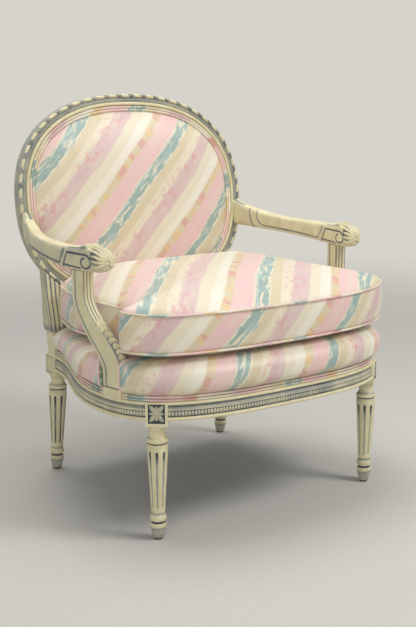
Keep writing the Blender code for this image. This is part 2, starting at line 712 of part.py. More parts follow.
def arm_stations():
    """Sections from the knob's tip to the last one before the back: (y, half width, low, high)."""
    wide, slim = ARM_SCROLL_WIDTH / 2, ARM_WIDTH / 2
    height = ARM_TOP - SCROLL_BOTTOM
    stations = []
    for share, width, low, high in (
            (0, 0.5, 0.30, 0.70), (0.17, 0.8, 0.12, 0.88), (0.5, 0.96, 0.02, 0.99), (1, 1, 0, 1.03)):
        y = ARM_TIP_Y + share * ARM_NOSE
        stations.append((y, wide * width, SCROLL_BOTTOM + low * height, SCROLL_BOTTOM + high * height))
    stations.append((ARM_SEAT.y, wide, SCROLL_BOTTOM, SCROLL_BOTTOM + 1.03 * height))
    stations.append((ARM_SCROLL_BACK, wide * 0.96, SCROLL_BOTTOM, SCROLL_BOTTOM + 1.01 * height))
    stations.append((ARM_BAR_START, slim * 1.1, ARM_BOTTOM, ARM_TOP))
    for share, rise in ((0.25, 0), (0.5, 0), (0.72, 0.12), (0.88, 0.42)):
        y = ARM_BAR_START + (ARM_ROOT_Y - ARM_BAR_START) * share
        stations.append((y, slim, ARM_BOTTOM, ARM_TOP + rise * ARM_ROOT_RISE))
    return stations


def arm_ring(x, half, low, high, y_of_z):
    """A section with rounded edges; y may follow the height."""
    edge = 0.28 * half
    lift = min(0.007, (high - low) / 4)
    shoulder = high - 0.2 * lift
    corners = [(-half, low + lift), (-half + edge, low), (half - edge, low), (half, low + lift),
               (half, high - lift), (half - edge, shoulder), (0, high), (-half + edge, shoulder),
               (-half, high - lift)]
    return [(x + dx, y_of_z(z), z) for dx, z in corners]


def build_arm(side, stile):
    rings = []
    for y, half, low, high in arm_stations():
        rings.append(arm_ring(side * arm_middle(y), half, low, high, lambda z, y=y: y))
    clear = (HALF_FRAME + GAP) / math.cos(BACK_RAKE)
    low, high = ARM_BOTTOM, ARM_TOP + ARM_ROOT_RISE
    rings.append(arm_ring(side * RING_MIDDLE_X, 0.47 * BACK_FRAME_WIDTH, low, high,
                          lambda z: back_plane_y(z) - clear))
    arm = add_solid(f"arm_{SIDES[side]}", loft(rings), PAINT)
    middle = Vector((side * RING_MIDDLE_X, 0, (low + high) / 2))
    middle.y = back_plane_y(middle.z) - clear
    mortise_and_tenon(arm, stile, middle, -BACK_FRONT, BACK_UP, TENON_SIZE)
    return arm


def join_post(side, post, arm, rail):
    up = Vector((0, 0, 1))
    size = (TENON_LENGTH, POST_TENON, POST_TENON)
    mortise_and_tenon(post, arm, post_point(side, 0, 0, POST_TOP), up, POST_BACK[side], size)
    size = (TENON_LENGTH, POST_TENON, 2 * POST_TENON)
    mortise_and_tenon(post, rail, post_point(side, 0, 0, POST_BOTTOM), -up, POST_BACK[side], size)


# Seat upholstery
UPRIGHT_FRONT_Y = min(back_plane_y(RAIL_TOP) - UPRIGHT_PLAIN / 2,
                      back_plane_y(UPRIGHT_PLAIN_Z) - UPRIGHT_REEDED_DEPTH / 2)
DECK_BACK_Y = min(UPRIGHT_FRONT_Y, REAR_LEG_Y - REAR_BLOCK / 2) - 2 * GAP
WELT_INSET = RAIL_FILLET_SETBACK + 0.0045
BORDER_FOOT = WELT_INSET + 1.6 * WELT_RADIUS + LINING_GAP
POST_FABRIC_GAP = 0.002


def border_profile():
    """The stuffed border over the rails: tucked behind the welt, swelling out, rolled over at the top."""
    low = RAIL_TOP + GAP
    rise = DECK_TOP - low
    tuck = (4 * WELT_RADIUS + LINING_GAP) / rise
    outer = [(BORDER_FOOT, 0), (BORDER_FOOT, tuck), (-0.5 * BORDER_BULGE, 0.33), (-BORDER_BULGE, 0.55),
             (-0.6 * BORDER_BULGE, 0.78), (0.006, 0.94), (0.022, 1)]
    profile = outer + [(BORDER_DEPTH, share) for _, share in outer[::-1]]
    return [(inset, low + share * rise) for inset, share in profile]


def post_clear_runs(side, profile, behind):
    """Where each point of a profile meets a post's back (behind = 1) or front (behind = -1)."""
    runs = []
    for inset, z in profile:
        face = post_point(side, 0, behind * (post_half_depth(z) + POST_FABRIC_GAP), z)
        runs.append(run_crossing(raised(face, 0), POST_BACK[side], side * POST_RUN, inset))
    return runs


def build_border():
    profile = border_profile()
    starts = post_clear_runs(-1, profile, -1)
    ends = post_clear_runs(1, profile, -1)
    add_solid("front_border", loft(sweep_on_plan(profile, starts, ends, 28), ladder=True), FABRIC)
    for side, name in SIDES.items():
        starts = post_clear_runs(side, profile, 1)
        end = side * run_at_y(DECK_BACK_Y)
        square = signed_angle(plan_at(end)[1], Vector((side, 0, 0)))
        rings = sweep_on_plan(profile, starts, [end] * len(profile), 12, 0.0, square)
        add_solid(f"side_border_{name}", loft(rings, ladder=True), FABRIC)
    half = REAR_LEG_X - max(UPRIGHT_REEDED, UPRIGHT_PLAIN) / 2 - 2 * GAP
    outer_y = REAR_LEG_Y + REAR_BLOCK / 2
    inner = outer_y - DECK_BACK_Y - GAP
    rings = []
    for x in (-half, half):
        rings.append([(x, outer_y - min(inset, inner), z) for inset, z in profile])
    add_solid("rear_border", loft(rings), FABRIC)


def welt_section(radius):
    """Two cords sewn side by side, one above the other, as (out, up)."""
    r = radius
    return [(-0.6 * r, -2 * r), (0.6 * r, -1.8 * r), (r, -r), (0.35 * r, 0), (r, r), (0.6 * r, 1.8 * r),
            (-0.6 * r, 2 * r)]


def build_rail_welts():
    r = WELT_RADIUS
    middle = RAIL_TOP + GAP + 2 * r
    profile = [(WELT_INSET + r - out, middle + up) for out, up in welt_section(r)]
    starts = post_clear_runs(-1, profile, -1)
    ends = post_clear_runs(1, profile, -1)
    add_solid("front_rail_welt", loft(sweep_on_plan(profile, starts, ends, 28)), WELTING)
    for side, name in SIDES.items():
        starts = post_clear_runs(side, profile, 1)
        end = side * run_at_y(DECK_BACK_Y)
        rings = sweep_on_plan(profile, starts, [end] * len(profile), 12)
        add_solid(f"side_rail_welt_{name}", loft(rings), WELTING)


def deck_outline(inset):
    """The seat plan moved in, closed by a straight back edge."""
    end = run_at_y(DECK_BACK_Y)
    points = [inset_plan(run, inset) for run in np.linspace(-end, end, 37)]
    return [(point.x, min(point.y, DECK_BACK_Y)) for point in points]


SEAT_BURLAP_TOP = DECK_TOP - DECK_PAD_THICKNESS - GAP
SEAT_BURLAP_BOTTOM = SEAT_BURLAP_TOP - BURLAP_THICKNESS
LENGTH_WEB_TOP = RAIL_REBATE_TOP - GAP
CROSS_WEB_TOP = LENGTH_WEB_TOP - WEB_THICKNESS - GAP
COVER_TOP = CROSS_WEB_TOP - WEB_THICKNESS - GAP


def flat_strap(name, x0, x1, y0, y1, top):
    outline = [(x0, y0), (x1, y0), (x1, y1), (x0, y1)]
    add_solid(name, slab(outline, top - WEB_THICKNESS, top), JUTE)


LENGTH_WEB_X = 0.115
CROSS_WEB_Y = (0.080, 0.200, 0.320)


def build_seat_webbing():
    hold = RAIL_REBATE + 0.006
    back_y = REAR_LEG_Y + REAR_BLOCK / 2 - hold
    for k, name in enumerate(("left", "middle", "right")):
        x = (k - 1) * LENGTH_WEB_X
        front_y = front_y_at(abs(x) + WEB_WIDTH / 2) + hold
        flat_strap(f"seat_webbing_{name}", x - WEB_WIDTH / 2, x + WEB_WIDTH / 2, front_y, back_y,
                   LENGTH_WEB_TOP)
    for k, y in enumerate(CROSS_WEB_Y):
        half = min(half_width_at(y - WEB_WIDTH / 2), half_width_at(y + WEB_WIDTH / 2)) - hold
        flat_strap(f"cross_webbing_{k + 1}", -half, half, y - WEB_WIDTH / 2, y + WEB_WIDTH / 2,
                   CROSS_WEB_TOP)


def build_springs():
    """Hourglass coil springs on the webbing crossings, tied under the burlap."""
    low = LENGTH_WEB_TOP + GAP + SPRING_WIRE_RADIUS
    high = SEAT_BURLAP_BOTTOM - GAP - SPRING_WIRE_RADIUS
    pitch = (high - low) / SPRING_TURNS
    print(f"springs: least gap between turns {1000 * (pitch - 2 * SPRING_WIRE_RADIUS):.1f} mm")
    spots = [(side * LENGTH_WEB_X, CROSS_WEB_Y[i]) for i in (0, 2) for side in SIDES]
    spots.append((0, CROSS_WEB_Y[1]))
    steps = 9 * SPRING_TURNS
    for k, (x, y) in enumerate(spots):
        curve = bpy.data.curves.new(f"seat_spring_{k + 1}", "CURVE")
        curve.dimensions = "3D"
        curve.bevel_depth = SPRING_WIRE_RADIUS
        curve.bevel_resolution = 0
        curve.use_fill_caps = True
        spline = curve.splines.new("POLY")
        spline.points.add(steps)
        for i in range(steps + 1):
            t = i / steps
            radius = SPRING_WAIST_RADIUS + (SPRING_END_RADIUS - SPRING_WAIST_RADIUS) * (2 * t - 1) ** 2
            angle = 2 * math.pi * SPRING_TURNS * t
            z = low + (high - low) * t
            spline.points[i].co = (x + radius * math.cos(angle), y + radius * math.sin(angle), z, 1)
        place_object(bpy.data.objects.new(curve.name, curve), STEEL, CHAIR)


def build_dust_cover():
    """Cambric under the seat, in the rails' rebate, notched round the four leg blocks."""
    clear = 3 * GAP
    edge = RAIL_REBATE + clear
    normal = LEG_NORMAL[1]
    before, _, near_side, _ = leg_shoulder(1, -1, clear)
    after, _, far_side, _ = leg_shoulder(1, 1, clear)
    inside = normal * (FRONT_BLOCK / 2 + clear)
    half = [inset_plan(run, edge) for run in np.linspace(0, before - clear, 8)[:-1]]
    half += [plan_at(before)[0] - normal * edge, near_side - inside,
             far_side - inside, plan_at(after)[0] - normal * edge]
    shoulder_y = REAR_LEG_Y - REAR_BLOCK / 2 - clear
    for run in np.linspace(after, run_at_y(shoulder_y), 12)[2:]:
        half.append(inset_plan(run, edge))
    inner_x = REAR_LEG_X - REAR_BLOCK / 2 - clear
    half.append(Vector((inner_x, half[-1].y, 0)))
    half.append(Vector((inner_x, REAR_LEG_Y + REAR_BLOCK / 2 - edge, 0)))
    outline = [(p.x, p.y) for p in half] + [(-p.x, p.y) for p in half[:0:-1]]
    add_solid("dust_cover", slab(outline, COVER_TOP - COVER_THICKNESS, COVER_TOP), CAMBRIC)


def build_deck():
    inset = BORDER_DEPTH + DECK_GAP
    add_solid("deck_pad", slab(deck_outline(inset), DECK_TOP - DECK_PAD_THICKNESS, DECK_TOP), FABRIC)
    add_solid("seat_burlap", slab(deck_outline(inset), SEAT_BURLAP_BOTTOM, SEAT_BURLAP_TOP), BURLAP)


# Loose cushion
CUSHION_BOTTOM = DECK_TOP + GAP
CUSHION_LOW_WELT = CUSHION_BOTTOM + CUSHION_WELT_LIFT
CUSHION_TOP_WELT = CUSHION_LOW_WELT + CUSHION_BOXING
CUSHION_WELT_ROOM = 2 * WELT_RADIUS + GAP
POST_CORNER = POST_WIDTH / 2, -post_half_depth(CUSHION_BOTTOM)
CUSHION_NECK_X = (post_point(1, -POST_CORNER[0], POST_CORNER[1], CUSHION_BOTTOM).x
                  - CUSHION_WELT_ROOM - CUSHION_CLEARANCE)
CUSHION_EAR_BACK = (post_point(1, *POST_CORNER, CUSHION_BOTTOM).y
                    - CUSHION_WELT_ROOM - CUSHION_CLEARANCE)
CUSHION_CORNER = 0.010
CUSHION_SIDE_SETBACK = 0.004
CUSHION_REAR_CORNER = 0.050


def cushion_half_outline():
    """Right half of the T-cushion's plan: bowed front, ear before the post, neck, side, round corner."""
    front = -SEAT_FRONT_BOW + CUSHION_FRONT_SETBACK
    depth = SEAT_WIDEST_Y - front
    ear = CUSHION_EAR_BACK
    corner = CUSHION_CORNER
    points = []
    ear_x, ear_front = CUSHION_EAR_X, ear - corner - SEAT_WIDEST_Y
    power = CUSHION_EAR_POWER
    reach = ear_x / (1 - abs(ear_front / depth) ** power) ** (1 / power)
    for angle in np.linspace(-math.pi / 2, math.atan2(ear_front, ear_x), 10):
        x, y = superellipse(angle, reach, depth, power)
        points.append((x, y + SEAT_WIDEST_Y))
    points += [(ear_x - 0.25 * corner, ear - 0.25 * corner), (ear_x - corner, ear)]
    neck = CUSHION_NECK_X
    points += [(neck + 0.8 * corner, ear), (neck, ear + corner)]
    back = CUSHION_BACK_Y
    for y in np.linspace(ear + 5 * corner, back - CUSHION_REAR_CORNER, 7):
        points.append((min(neck, half_width_at(y) - CUSHION_SIDE_SETBACK), y))
    side_x = points[-1][0]
    for angle in (30, 60, 90):
        x = side_x - CUSHION_REAR_CORNER * (1 - math.cos(math.radians(angle)))
        points.append((x, back - CUSHION_REAR_CORNER * (1 - math.sin(math.radians(angle)))))
    for share in (0.6, 0.3):
        points.append((side_x * share, back + CUSHION_BACK_BOW * (1 - share ** 2)))
    return points


def cushion_outline():
    half = cushion_half_outline()
    return half + [(-x, y) for x, y in half[:0:-1]]


def grown(outline, reach):
    """An outline moved outward along its own normals."""
    moved = []
    count = len(outline)
    for i, (x, y) in enumerate(outline):
        before, after = Vector(outline[i - 1]), Vector(outline[(i + 1) % count])
        along = (after - before).normalized()
        moved.append((x + reach * along.y, y - reach * along.x))
    return moved


def smoothed(outline, rounds):
    """An outline with its corners worn off, round by round."""
    for _ in range(rounds):
        count = len(outline)
        outline = [((outline[i - 1][0] + 2 * x + outline[(i + 1) % count][0]) / 4,
                    (outline[i - 1][1] + 2 * y + outline[(i + 1) % count][1]) / 4)
                   for i, (x, y) in enumerate(outline)]
    return outline


def build_cushion(carrier):
    outline = cushion_outline()
    middle_y = (CUSHION_BACK_Y - SEAT_FRONT_BOW) / 2
    top = CUSHION_TOP_WELT
    low = CUSHION_LOW_WELT
    worn = smoothed(outline, 2)
    levels = [(worn, 0.90, CUSHION_BOTTOM), (outline, 0.975, CUSHION_BOTTOM + 0.25 * CUSHION_WELT_LIFT),
              (outline, 1, low), (grown(outline, CUSHION_BULGE), 1, low + 0.3 * CUSHION_BOXING),
              (grown(outline, CUSHION_BULGE), 1, low + 0.7 * CUSHION_BOXING), (outline, 1, top)]
    for share, rise, rounds in (
            (0.95, 0.25, 1), (0.86, 0.54, 4), (0.68, 0.81, 9), (0.42, 0.96, 14), (0.14, 1, 18)):
        levels.append((smoothed(outline, rounds), share, top + rise * CUSHION_CROWN))
    rings = []
    for around, share, z in levels:
        rings.append([(x * share, middle_y + (y - middle_y) * share, z) for x, y in around])
    add_solid("seat_cushion", loft(rings), FABRIC, carrier, smooth=60)
    r = WELT_RADIUS
    for name, z in (("top", CUSHION_TOP_WELT), ("bottom", CUSHION_LOW_WELT)):
        corners = ((GAP, 0), (GAP + r, -r), (GAP + 2 * r, 0), (GAP + r, r))
        lines = [[(x, y, z + up) for x, y in grown(outline, out)] for out, up in corners]
        rings = [list(ring) for ring in zip(*lines)]
        add_solid(f"cushion_welt_{name}", loft(rings, loop=True), WELTING, carrier)


# Back upholstery
BACK_WELT_INSET = BACK_FRAME_WIDTH + LINING_GAP
PAD_INSET = BACK_WELT_INSET + 4 * WELT_RADIUS * 0.9 + GAP
OUTSIDE_INSET = BACK_WELT_INSET + 2 * WELT_RADIUS + GAP
BACK_STEPS = 44


def back_ring(inset, share, depth):
    angles = [2 * math.pi * k / BACK_STEPS for k in range(BACK_STEPS)]
    outline = [back_outline(angle, inset) for angle in angles]
    return [on_back(u * share, v * share, depth) for u, v in outline]


def back_opening(u):
    """Half the height of the frame's opening at a distance from its middle."""
    quarter = [back_outline(angle, BACK_FRAME_WIDTH) for angle in np.linspace(math.pi / 2, 0, 120)]
    return float(np.interp(u, [p[0] for p in quarter], [p[1] for p in quarter]))


def back_opening_width(v):
    quarter = [back_outline(angle, BACK_FRAME_WIDTH) for angle in np.linspace(0, math.pi / 2, 120)]
    return float(np.interp(v, [p[1] for p in quarter], [p[0] for p in quarter]))


def back_strap(name, u0, u1, v0, v1, front):
    rings = []
    for depth in (front, front - WEB_THICKNESS):
        rings.append([on_back(u, v, depth) for u, v in ((u0, v0), (u1, v0), (u1, v1), (u0, v1))])
    add_solid(name, loft(rings), JUTE)


def build_back_upholstery():
    edge = HALF_FRAME * 0.62
    pad = [(0.97, GAP), (1, 0.3 * edge), (1, edge)]
    for share, rise in ((0.95, 0.26), (0.84, 0.55), (0.64, 0.82), (0.38, 0.96), (0.12, 1)):
        pad.append((share, edge + rise * BACK_PAD_CROWN))
    rings = [back_ring(PAD_INSET, share, depth) for share, depth in pad]
    add_solid("back_pad", loft(rings), FABRIC, smooth=60)
    burlap = [back_ring(BACK_WELT_INSET, 1, depth) for depth in (0, -BURLAP_THICKNESS)]
    add_solid("back_burlap", loft(burlap), BURLAP)
    front = -BURLAP_THICKNESS - GAP
    half = WEB_WIDTH / 2
    for k, name in enumerate(("left", "middle", "right")):
        u = (k - 1) * LENGTH_WEB_X
        reach = back_opening(abs(u) + half) - LINING_GAP
        back_strap(f"back_webbing_{name}", u - half, u + half, -reach, reach, front)
    front -= WEB_THICKNESS + GAP
    for v, name in ((-0.07, "lower"), (0.07, "upper")):
        reach = back_opening_width(abs(v) + half) - LINING_GAP
        back_strap(f"back_cross_webbing_{name}", -reach, reach, v - half, v + half, front)
    front -= WEB_THICKNESS + GAP
    behind = [(0.97, front), (1, front - 0.002), (1, -HALF_FRAME + 0.001)]
    for share, rise in ((0.86, 0.6), (0.5, 0.95), (0.15, 1)):
        behind.append((share, -HALF_FRAME - rise * OUTSIDE_BACK_CROWN))
    rings = [back_ring(OUTSIDE_INSET, share, depth) for share, depth in behind]
    add_solid("outside_back", loft(rings), FABRIC, smooth=60)
    r = WELT_RADIUS * 0.9
    middle = BACK_WELT_INSET + 2 * r
    lines = [back_ring(middle + up, 1, edge + out) for out, up in welt_section(r)]
    add_solid("inside_back_welt", loft([list(ring) for ring in zip(*lines)], loop=True), WELTING)
    r = WELT_RADIUS
    middle = BACK_WELT_INSET + r
    corners = ((r, 0), (0, -r), (-r, 0), (0, r))
    lines = [back_ring(middle + across, 1, r - HALF_FRAME + along) for across, along in corners]
    add_solid("outside_back_welt", loft([list(ring) for ring in zip(*lines)], loop=True), WELTING)


# The whole chair
def build_chair():
    front_legs = {side: build_front_leg(side) for side in SIDES}
    rear_legs = {side: build_rear_leg(side) for side in SIDES}
    for side, name in SIDES.items():
        build_glide(f"front_glide_{name}", LEG_PLACE[side])
        foot = REAR_LEG_Y + REAR_LEG_RAKE
        build_glide(f"rear_glide_{name}", Vector((side * REAR_LEG_X, foot, 0)))
    rails = build_rails(front_legs, rear_legs)
    build_corner_blocks()
    stiles = build_back_frame()
    for side in SIDES:
        post = build_post(side)
        arm = build_arm(side, stiles[side])
        join_post(side, post, arm, rails[side])
    build_seat_webbing()
    build_springs()
    build_dust_cover()
    build_deck()
    build_border()
    build_rail_welts()
    carrier = add_empty("cushion_lift", (0, SEAT_WIDEST_Y, CUSHION_BOTTOM), CHAIR)
    build_cushion(carrier)
    build_back_upholstery()


build_chair()
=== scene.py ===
# %% [markdown]
# # An open-arm bergere, dressed
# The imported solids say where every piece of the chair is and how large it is. This lesson dresses them: the
# painted frame is modelled again with its full mouldings and carving, the soft pieces are sewn and stuffed,
# and every surface gets a finish made from nodes. We work in a bench frame, whose Y is about zero at the
# front legs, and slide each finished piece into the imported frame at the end.

# %% Load the frame
import json
import math

import bmesh
import bpy
import numpy as np
from mathutils import Matrix, Vector

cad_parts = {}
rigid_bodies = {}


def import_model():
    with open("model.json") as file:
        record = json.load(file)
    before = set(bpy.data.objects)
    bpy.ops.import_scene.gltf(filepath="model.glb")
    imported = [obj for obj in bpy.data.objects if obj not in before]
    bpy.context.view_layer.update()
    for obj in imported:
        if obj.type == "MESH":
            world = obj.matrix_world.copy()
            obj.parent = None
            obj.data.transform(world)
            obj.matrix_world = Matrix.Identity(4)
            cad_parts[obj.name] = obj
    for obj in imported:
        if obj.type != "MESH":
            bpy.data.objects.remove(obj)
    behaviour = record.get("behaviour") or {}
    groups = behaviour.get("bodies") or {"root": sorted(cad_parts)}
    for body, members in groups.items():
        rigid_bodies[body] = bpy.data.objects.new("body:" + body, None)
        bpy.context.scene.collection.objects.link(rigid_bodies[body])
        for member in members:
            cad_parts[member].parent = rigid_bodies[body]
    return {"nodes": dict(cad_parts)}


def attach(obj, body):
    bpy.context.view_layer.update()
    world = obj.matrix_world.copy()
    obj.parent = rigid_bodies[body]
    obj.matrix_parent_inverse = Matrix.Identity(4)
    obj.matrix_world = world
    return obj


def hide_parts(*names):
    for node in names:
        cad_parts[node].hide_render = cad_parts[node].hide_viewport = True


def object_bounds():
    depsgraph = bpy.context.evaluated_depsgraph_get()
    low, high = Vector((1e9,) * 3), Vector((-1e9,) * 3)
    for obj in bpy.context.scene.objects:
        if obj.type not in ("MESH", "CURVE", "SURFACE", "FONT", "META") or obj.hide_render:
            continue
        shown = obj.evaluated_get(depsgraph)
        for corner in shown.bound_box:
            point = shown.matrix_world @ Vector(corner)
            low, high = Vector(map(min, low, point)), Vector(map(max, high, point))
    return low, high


for leftover in list(bpy.data.objects):
    bpy.data.objects.remove(leftover, do_unlink=True)
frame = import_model()
CAD_LOW, CAD_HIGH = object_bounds()
SIDES = {-1: "left", 1: "right"}
UP = Vector((0, 0, 1))
print("packed nodes:", len(frame["nodes"]), "height", round(CAD_HIGH.z, 3))

# %% [markdown]
# The camera looks down a little, from above arm height and from the chair's left of centre. A long lens
# from about two metres keeps the legs parallel.

# %% Camera
PICTURE_HEIGHT = 627
FOCAL_PIXELS = 1072.2
CAMERA_PLACE = Vector((-1.3799, -1.9044, 0.8381))
CAMERA_YAW = 0.6327
CAMERA_PITCH = 0.1916


def as_mesh(name, bm):
    mesh = bpy.data.meshes.new(name)
    bm.to_mesh(mesh)
    bm.free()
    return mesh


def stand(name, data):
    """An object for a mesh, lamp or camera, linked to the scene."""
    made = bpy.data.objects.new(name, data)
    bpy.context.scene.collection.objects.link(made)
    return made


def aim(thing, place, direction):
    thing.location = place
    thing.rotation_mode = "QUATERNION"
    thing.rotation_quaternion = direction.to_track_quat("-Z", "Y")


def aim_camera():
    lens = bpy.data.cameras.new("camera")
    lens.sensor_fit = "VERTICAL"
    lens.sensor_height = 36.0
    lens.lens = lens.sensor_height * FOCAL_PIXELS / PICTURE_HEIGHT
    camera = stand("camera", lens)
    level = math.cos(CAMERA_PITCH)
    ahead = Vector((math.sin(CAMERA_YAW) * level, math.cos(CAMERA_YAW) * level, -math.sin(CAMERA_PITCH)))
    aim(camera, CAMERA_PLACE, ahead)
    bpy.context.scene.camera = camera
    return lens.lens


print("lens", round(aim_camera(), 1), "mm")

# %% [markdown]
# Node trees are easier to read as short calls. `node` adds one node, sets its options and fills its inputs:
# a number or colour is written into the socket, and another node's output is linked to it.

# %% Helpers for node trees
def node(tree, kind, options=None, **inputs):
    made = tree.nodes.new(kind)
    for option, value in (options or {}).items():
        setattr(made, option, value)
    for key, value in inputs.items():
        socket = made.inputs[int(key[1:])] if key[1:].isdigit() else made.inputs[key.replace("_", " ")]
        if isinstance(value, bpy.types.NodeSocket):
            tree.links.new(value, socket)
        else:
            socket.default_value = value
    return made


def sums(tree, operation, a, b=0.0, c=0.0):
    """One Math node's result."""
    return node(tree, "ShaderNodeMath", {"operation": operation}, i0=a, i1=b, i2=c).outputs[0]


def blended(tree, factor, a, b):
    """A mix of two colours by a factor."""
    mix = node(tree, "ShaderNodeMix", {"data_type": "RGBA"}, i0=factor, i6=a, i7=b)
    return mix.outputs[2]


def stepped(tree, value, low, high):
    """A smooth rise from 0 to 1 between two levels."""
    made = node(tree, "ShaderNodeMapRange", {"interpolation_type": "SMOOTHSTEP"},
                i0=value, i1=low, i2=high)
    return made.outputs[0]


def noise(tree, coords, scale, detail=2.0, rough=0.5):
    made = node(tree, "ShaderNodeTexNoise", None, Vector=coords, Scale=scale, Detail=detail, Roughness=rough)
    return made.outputs["Fac"]


def colour(red, green, blue):
    """A colour written as on screen, 0 to 255, for a shader socket."""
    channels = []
    for level in (red, green, blue):
        share = level / 255
        channels.append(share / 12.92 if share <= 0.04045 else ((share + 0.055) / 1.055) ** 2.4)
    return (*channels, 1.0)


def new_material(name):
    material = bpy.data.materials.new(name)
    material.use_nodes = True
    tree = material.node_tree
    return material, tree, tree.nodes["Principled BSDF"]


def bumped(tree, shader, height, strength, distance):
    bump = node(tree, "ShaderNodeBump", None, Height=height, Strength=strength, Distance=distance)
    tree.links.new(bump.outputs[0], shader.inputs["Normal"])


print("node helpers ready")

# %% [markdown]
# The stage is a pale floor that melts into an equally pale background, so the horizon doesn't cut the
# picture. A large soft key stands before the chair on its right side, where it draws out the cushion's
# crown, with a weaker fill on the left and a top light. The levels are kept plain, so colours render about
# as they are written.

# %% Floor, world and lamps
BACKGROUND = colour(214, 211, 203)
FLOOR_DARK = colour(196, 192, 183)
FLOOR_PALE = colour(208, 205, 197)
FLOOR_REACH = 9.0
FLOOR_FADE = (1.2, 4.0)
AMBIENT = (0.93, 0.96, 1.0, 1.0)
AMBIENT_STRENGTH = 0.38


def lay_floor():
    bm = bmesh.new()
    bmesh.ops.create_circle(bm, cap_ends=True, segments=96, radius=FLOOR_REACH)
    floor = stand("floor", as_mesh("floor", bm))
    material, tree, shader = new_material("pale_floor")
    coords = node(tree, "ShaderNodeTexCoord").outputs["Object"]
    grain = noise(tree, coords, 90.0, 3.0)
    shader.inputs["Roughness"].default_value = 0.9
    tree.links.new(blended(tree, grain, FLOOR_DARK, FLOOR_PALE), shader.inputs["Base Color"])
    away = node(tree, "ShaderNodeVectorMath", {"operation": "LENGTH"}, i0=coords).outputs["Value"]
    fade = stepped(tree, away, *FLOOR_FADE)
    glow = node(tree, "ShaderNodeEmission", None, Color=BACKGROUND)
    join = node(tree, "ShaderNodeMixShader", None, i0=fade, i1=shader.outputs[0], i2=glow.outputs[0])
    tree.links.new(join.outputs[0], tree.nodes["Material Output"].inputs["Surface"])
    floor.data.materials.append(material)


def light_world():
    world = bpy.data.worlds.new("studio")
    world.use_nodes = True
    bpy.context.scene.world = world
    tree = world.node_tree
    path = node(tree, "ShaderNodeLightPath").outputs
    seen = sums(tree, "MAXIMUM", path["Is Camera Ray"], path["Is Glossy Ray"])
    seen = sums(tree, "MAXIMUM", seen, path["Is Transmission Ray"])
    ambient = node(tree, "ShaderNodeBackground", None, Color=AMBIENT, Strength=AMBIENT_STRENGTH)
    shown = node(tree, "ShaderNodeBackground", None, Color=BACKGROUND, Strength=1.0)
    join = node(tree, "ShaderNodeMixShader", None, i0=seen, i1=ambient.outputs[0], i2=shown.outputs[0])
    tree.links.new(join.outputs[0], tree.nodes["World Output"].inputs["Surface"])


def hang_lamp(name, place, target, size, power):
    lamp = bpy.data.lights.new(name, "AREA")
    lamp.shape = "DISK"
    lamp.size = size
    lamp.energy = power
    aim(stand(name, lamp), place, Vector(target) - Vector(place))


lay_floor()
light_world()
hang_lamp("key", (1.3, -1.9, 2.8), (0, 0, 0.4), 1.2, 50)
hang_lamp("fill", (-2.0, -2.0, 1.3), (0, 0, 0.45), 1.4, 14)
hang_lamp("top", (-0.1, 0.5, 2.9), (0, 0, 0.3), 1.6, 34)
bpy.context.scene.view_settings.view_transform = "Standard"
print("stage set")

# %% [markdown]
# The frame's finish is old cream paint. After painting, a blue-grey glaze was brushed on and wiped off, so
# it stays in every hollow, and handling has rubbed the crests paler. Two numbers on each point drive this:
# `bend`, how sharply the surface curves there (hollow below zero), which is measured from the finished
# mesh, and `glaze`, which a maker paints on purpose into lines, coves and panels.

# %% Cream paint with a wiped glaze
CREAM = colour(231, 223, 184)
CREAM_WARM = colour(214, 203, 160)
CREAM_PALE = colour(245, 240, 214)
GLAZE = colour(152, 156, 150)
GLAZE_DEEP = colour(54, 60, 76)
GLAZE_FILM = (0.12, 0.55)
GLAZE_BODY = (0.55, 1.05)
HOLLOW_BEND = 420.0


def attribute(tree, name):
    return node(tree, "ShaderNodeAttribute", {"attribute_name": name}).outputs["Fac"]


def cream_paint():
    material, tree, shader = new_material("antiqued_cream_paint")
    coords = node(tree, "ShaderNodeTexCoord").outputs["Object"]
    mottle = noise(tree, coords, 38.0, 4.0, 0.6)
    wash = noise(tree, coords, 11.0, 3.0, 0.6)
    grain = noise(tree, coords, 420.0, 2.0)
    bend = attribute(tree, "bend")
    hollow = sums(tree, "MAXIMUM", sums(tree, "DIVIDE", bend, -HOLLOW_BEND), 0.0)
    crest = sums(tree, "MAXIMUM", sums(tree, "DIVIDE", bend, 2.2 * HOLLOW_BEND), 0.0)
    wiped = sums(tree, "MULTIPLY_ADD", sums(tree, "SUBTRACT", mottle, 0.5), 0.55,
                 sums(tree, "MULTIPLY_ADD", hollow, 0.5, attribute(tree, "glaze")))
    wiped = sums(tree, "MULTIPLY_ADD", stepped(tree, wash, 0.35, 0.7), 0.16, wiped)
    wiped = sums(tree, "MULTIPLY_ADD", sums(tree, "SUBTRACT", grain, 0.5), 0.25, wiped)
    light = stepped(tree, wiped, *GLAZE_FILM)
    deep = stepped(tree, wiped, *GLAZE_BODY)
    cream = blended(tree, stepped(tree, mottle, 0.25, 0.75), CREAM_WARM, CREAM)
    cream = blended(tree, sums(tree, "MULTIPLY", stepped(tree, crest, 0.1, 0.8), 0.6), cream, CREAM_PALE)
    paint = blended(tree, sums(tree, "MULTIPLY", light, 0.92), cream, GLAZE)
    paint = blended(tree, sums(tree, "MULTIPLY", deep, 0.95), paint, GLAZE_DEEP)
    tree.links.new(paint, shader.inputs["Base Color"])
    rough = sums(tree, "MULTIPLY_ADD", mottle, 0.25, 0.36)
    tree.links.new(rough, shader.inputs["Roughness"])
    shader.inputs["Specular IOR Level"].default_value = 0.4
    bumped(tree, shader, sums(tree, "MULTIPLY_ADD", grain, 0.4, mottle), 0.12, 0.0012)
    return material


PAINT = cream_paint()
print("paint mixed")

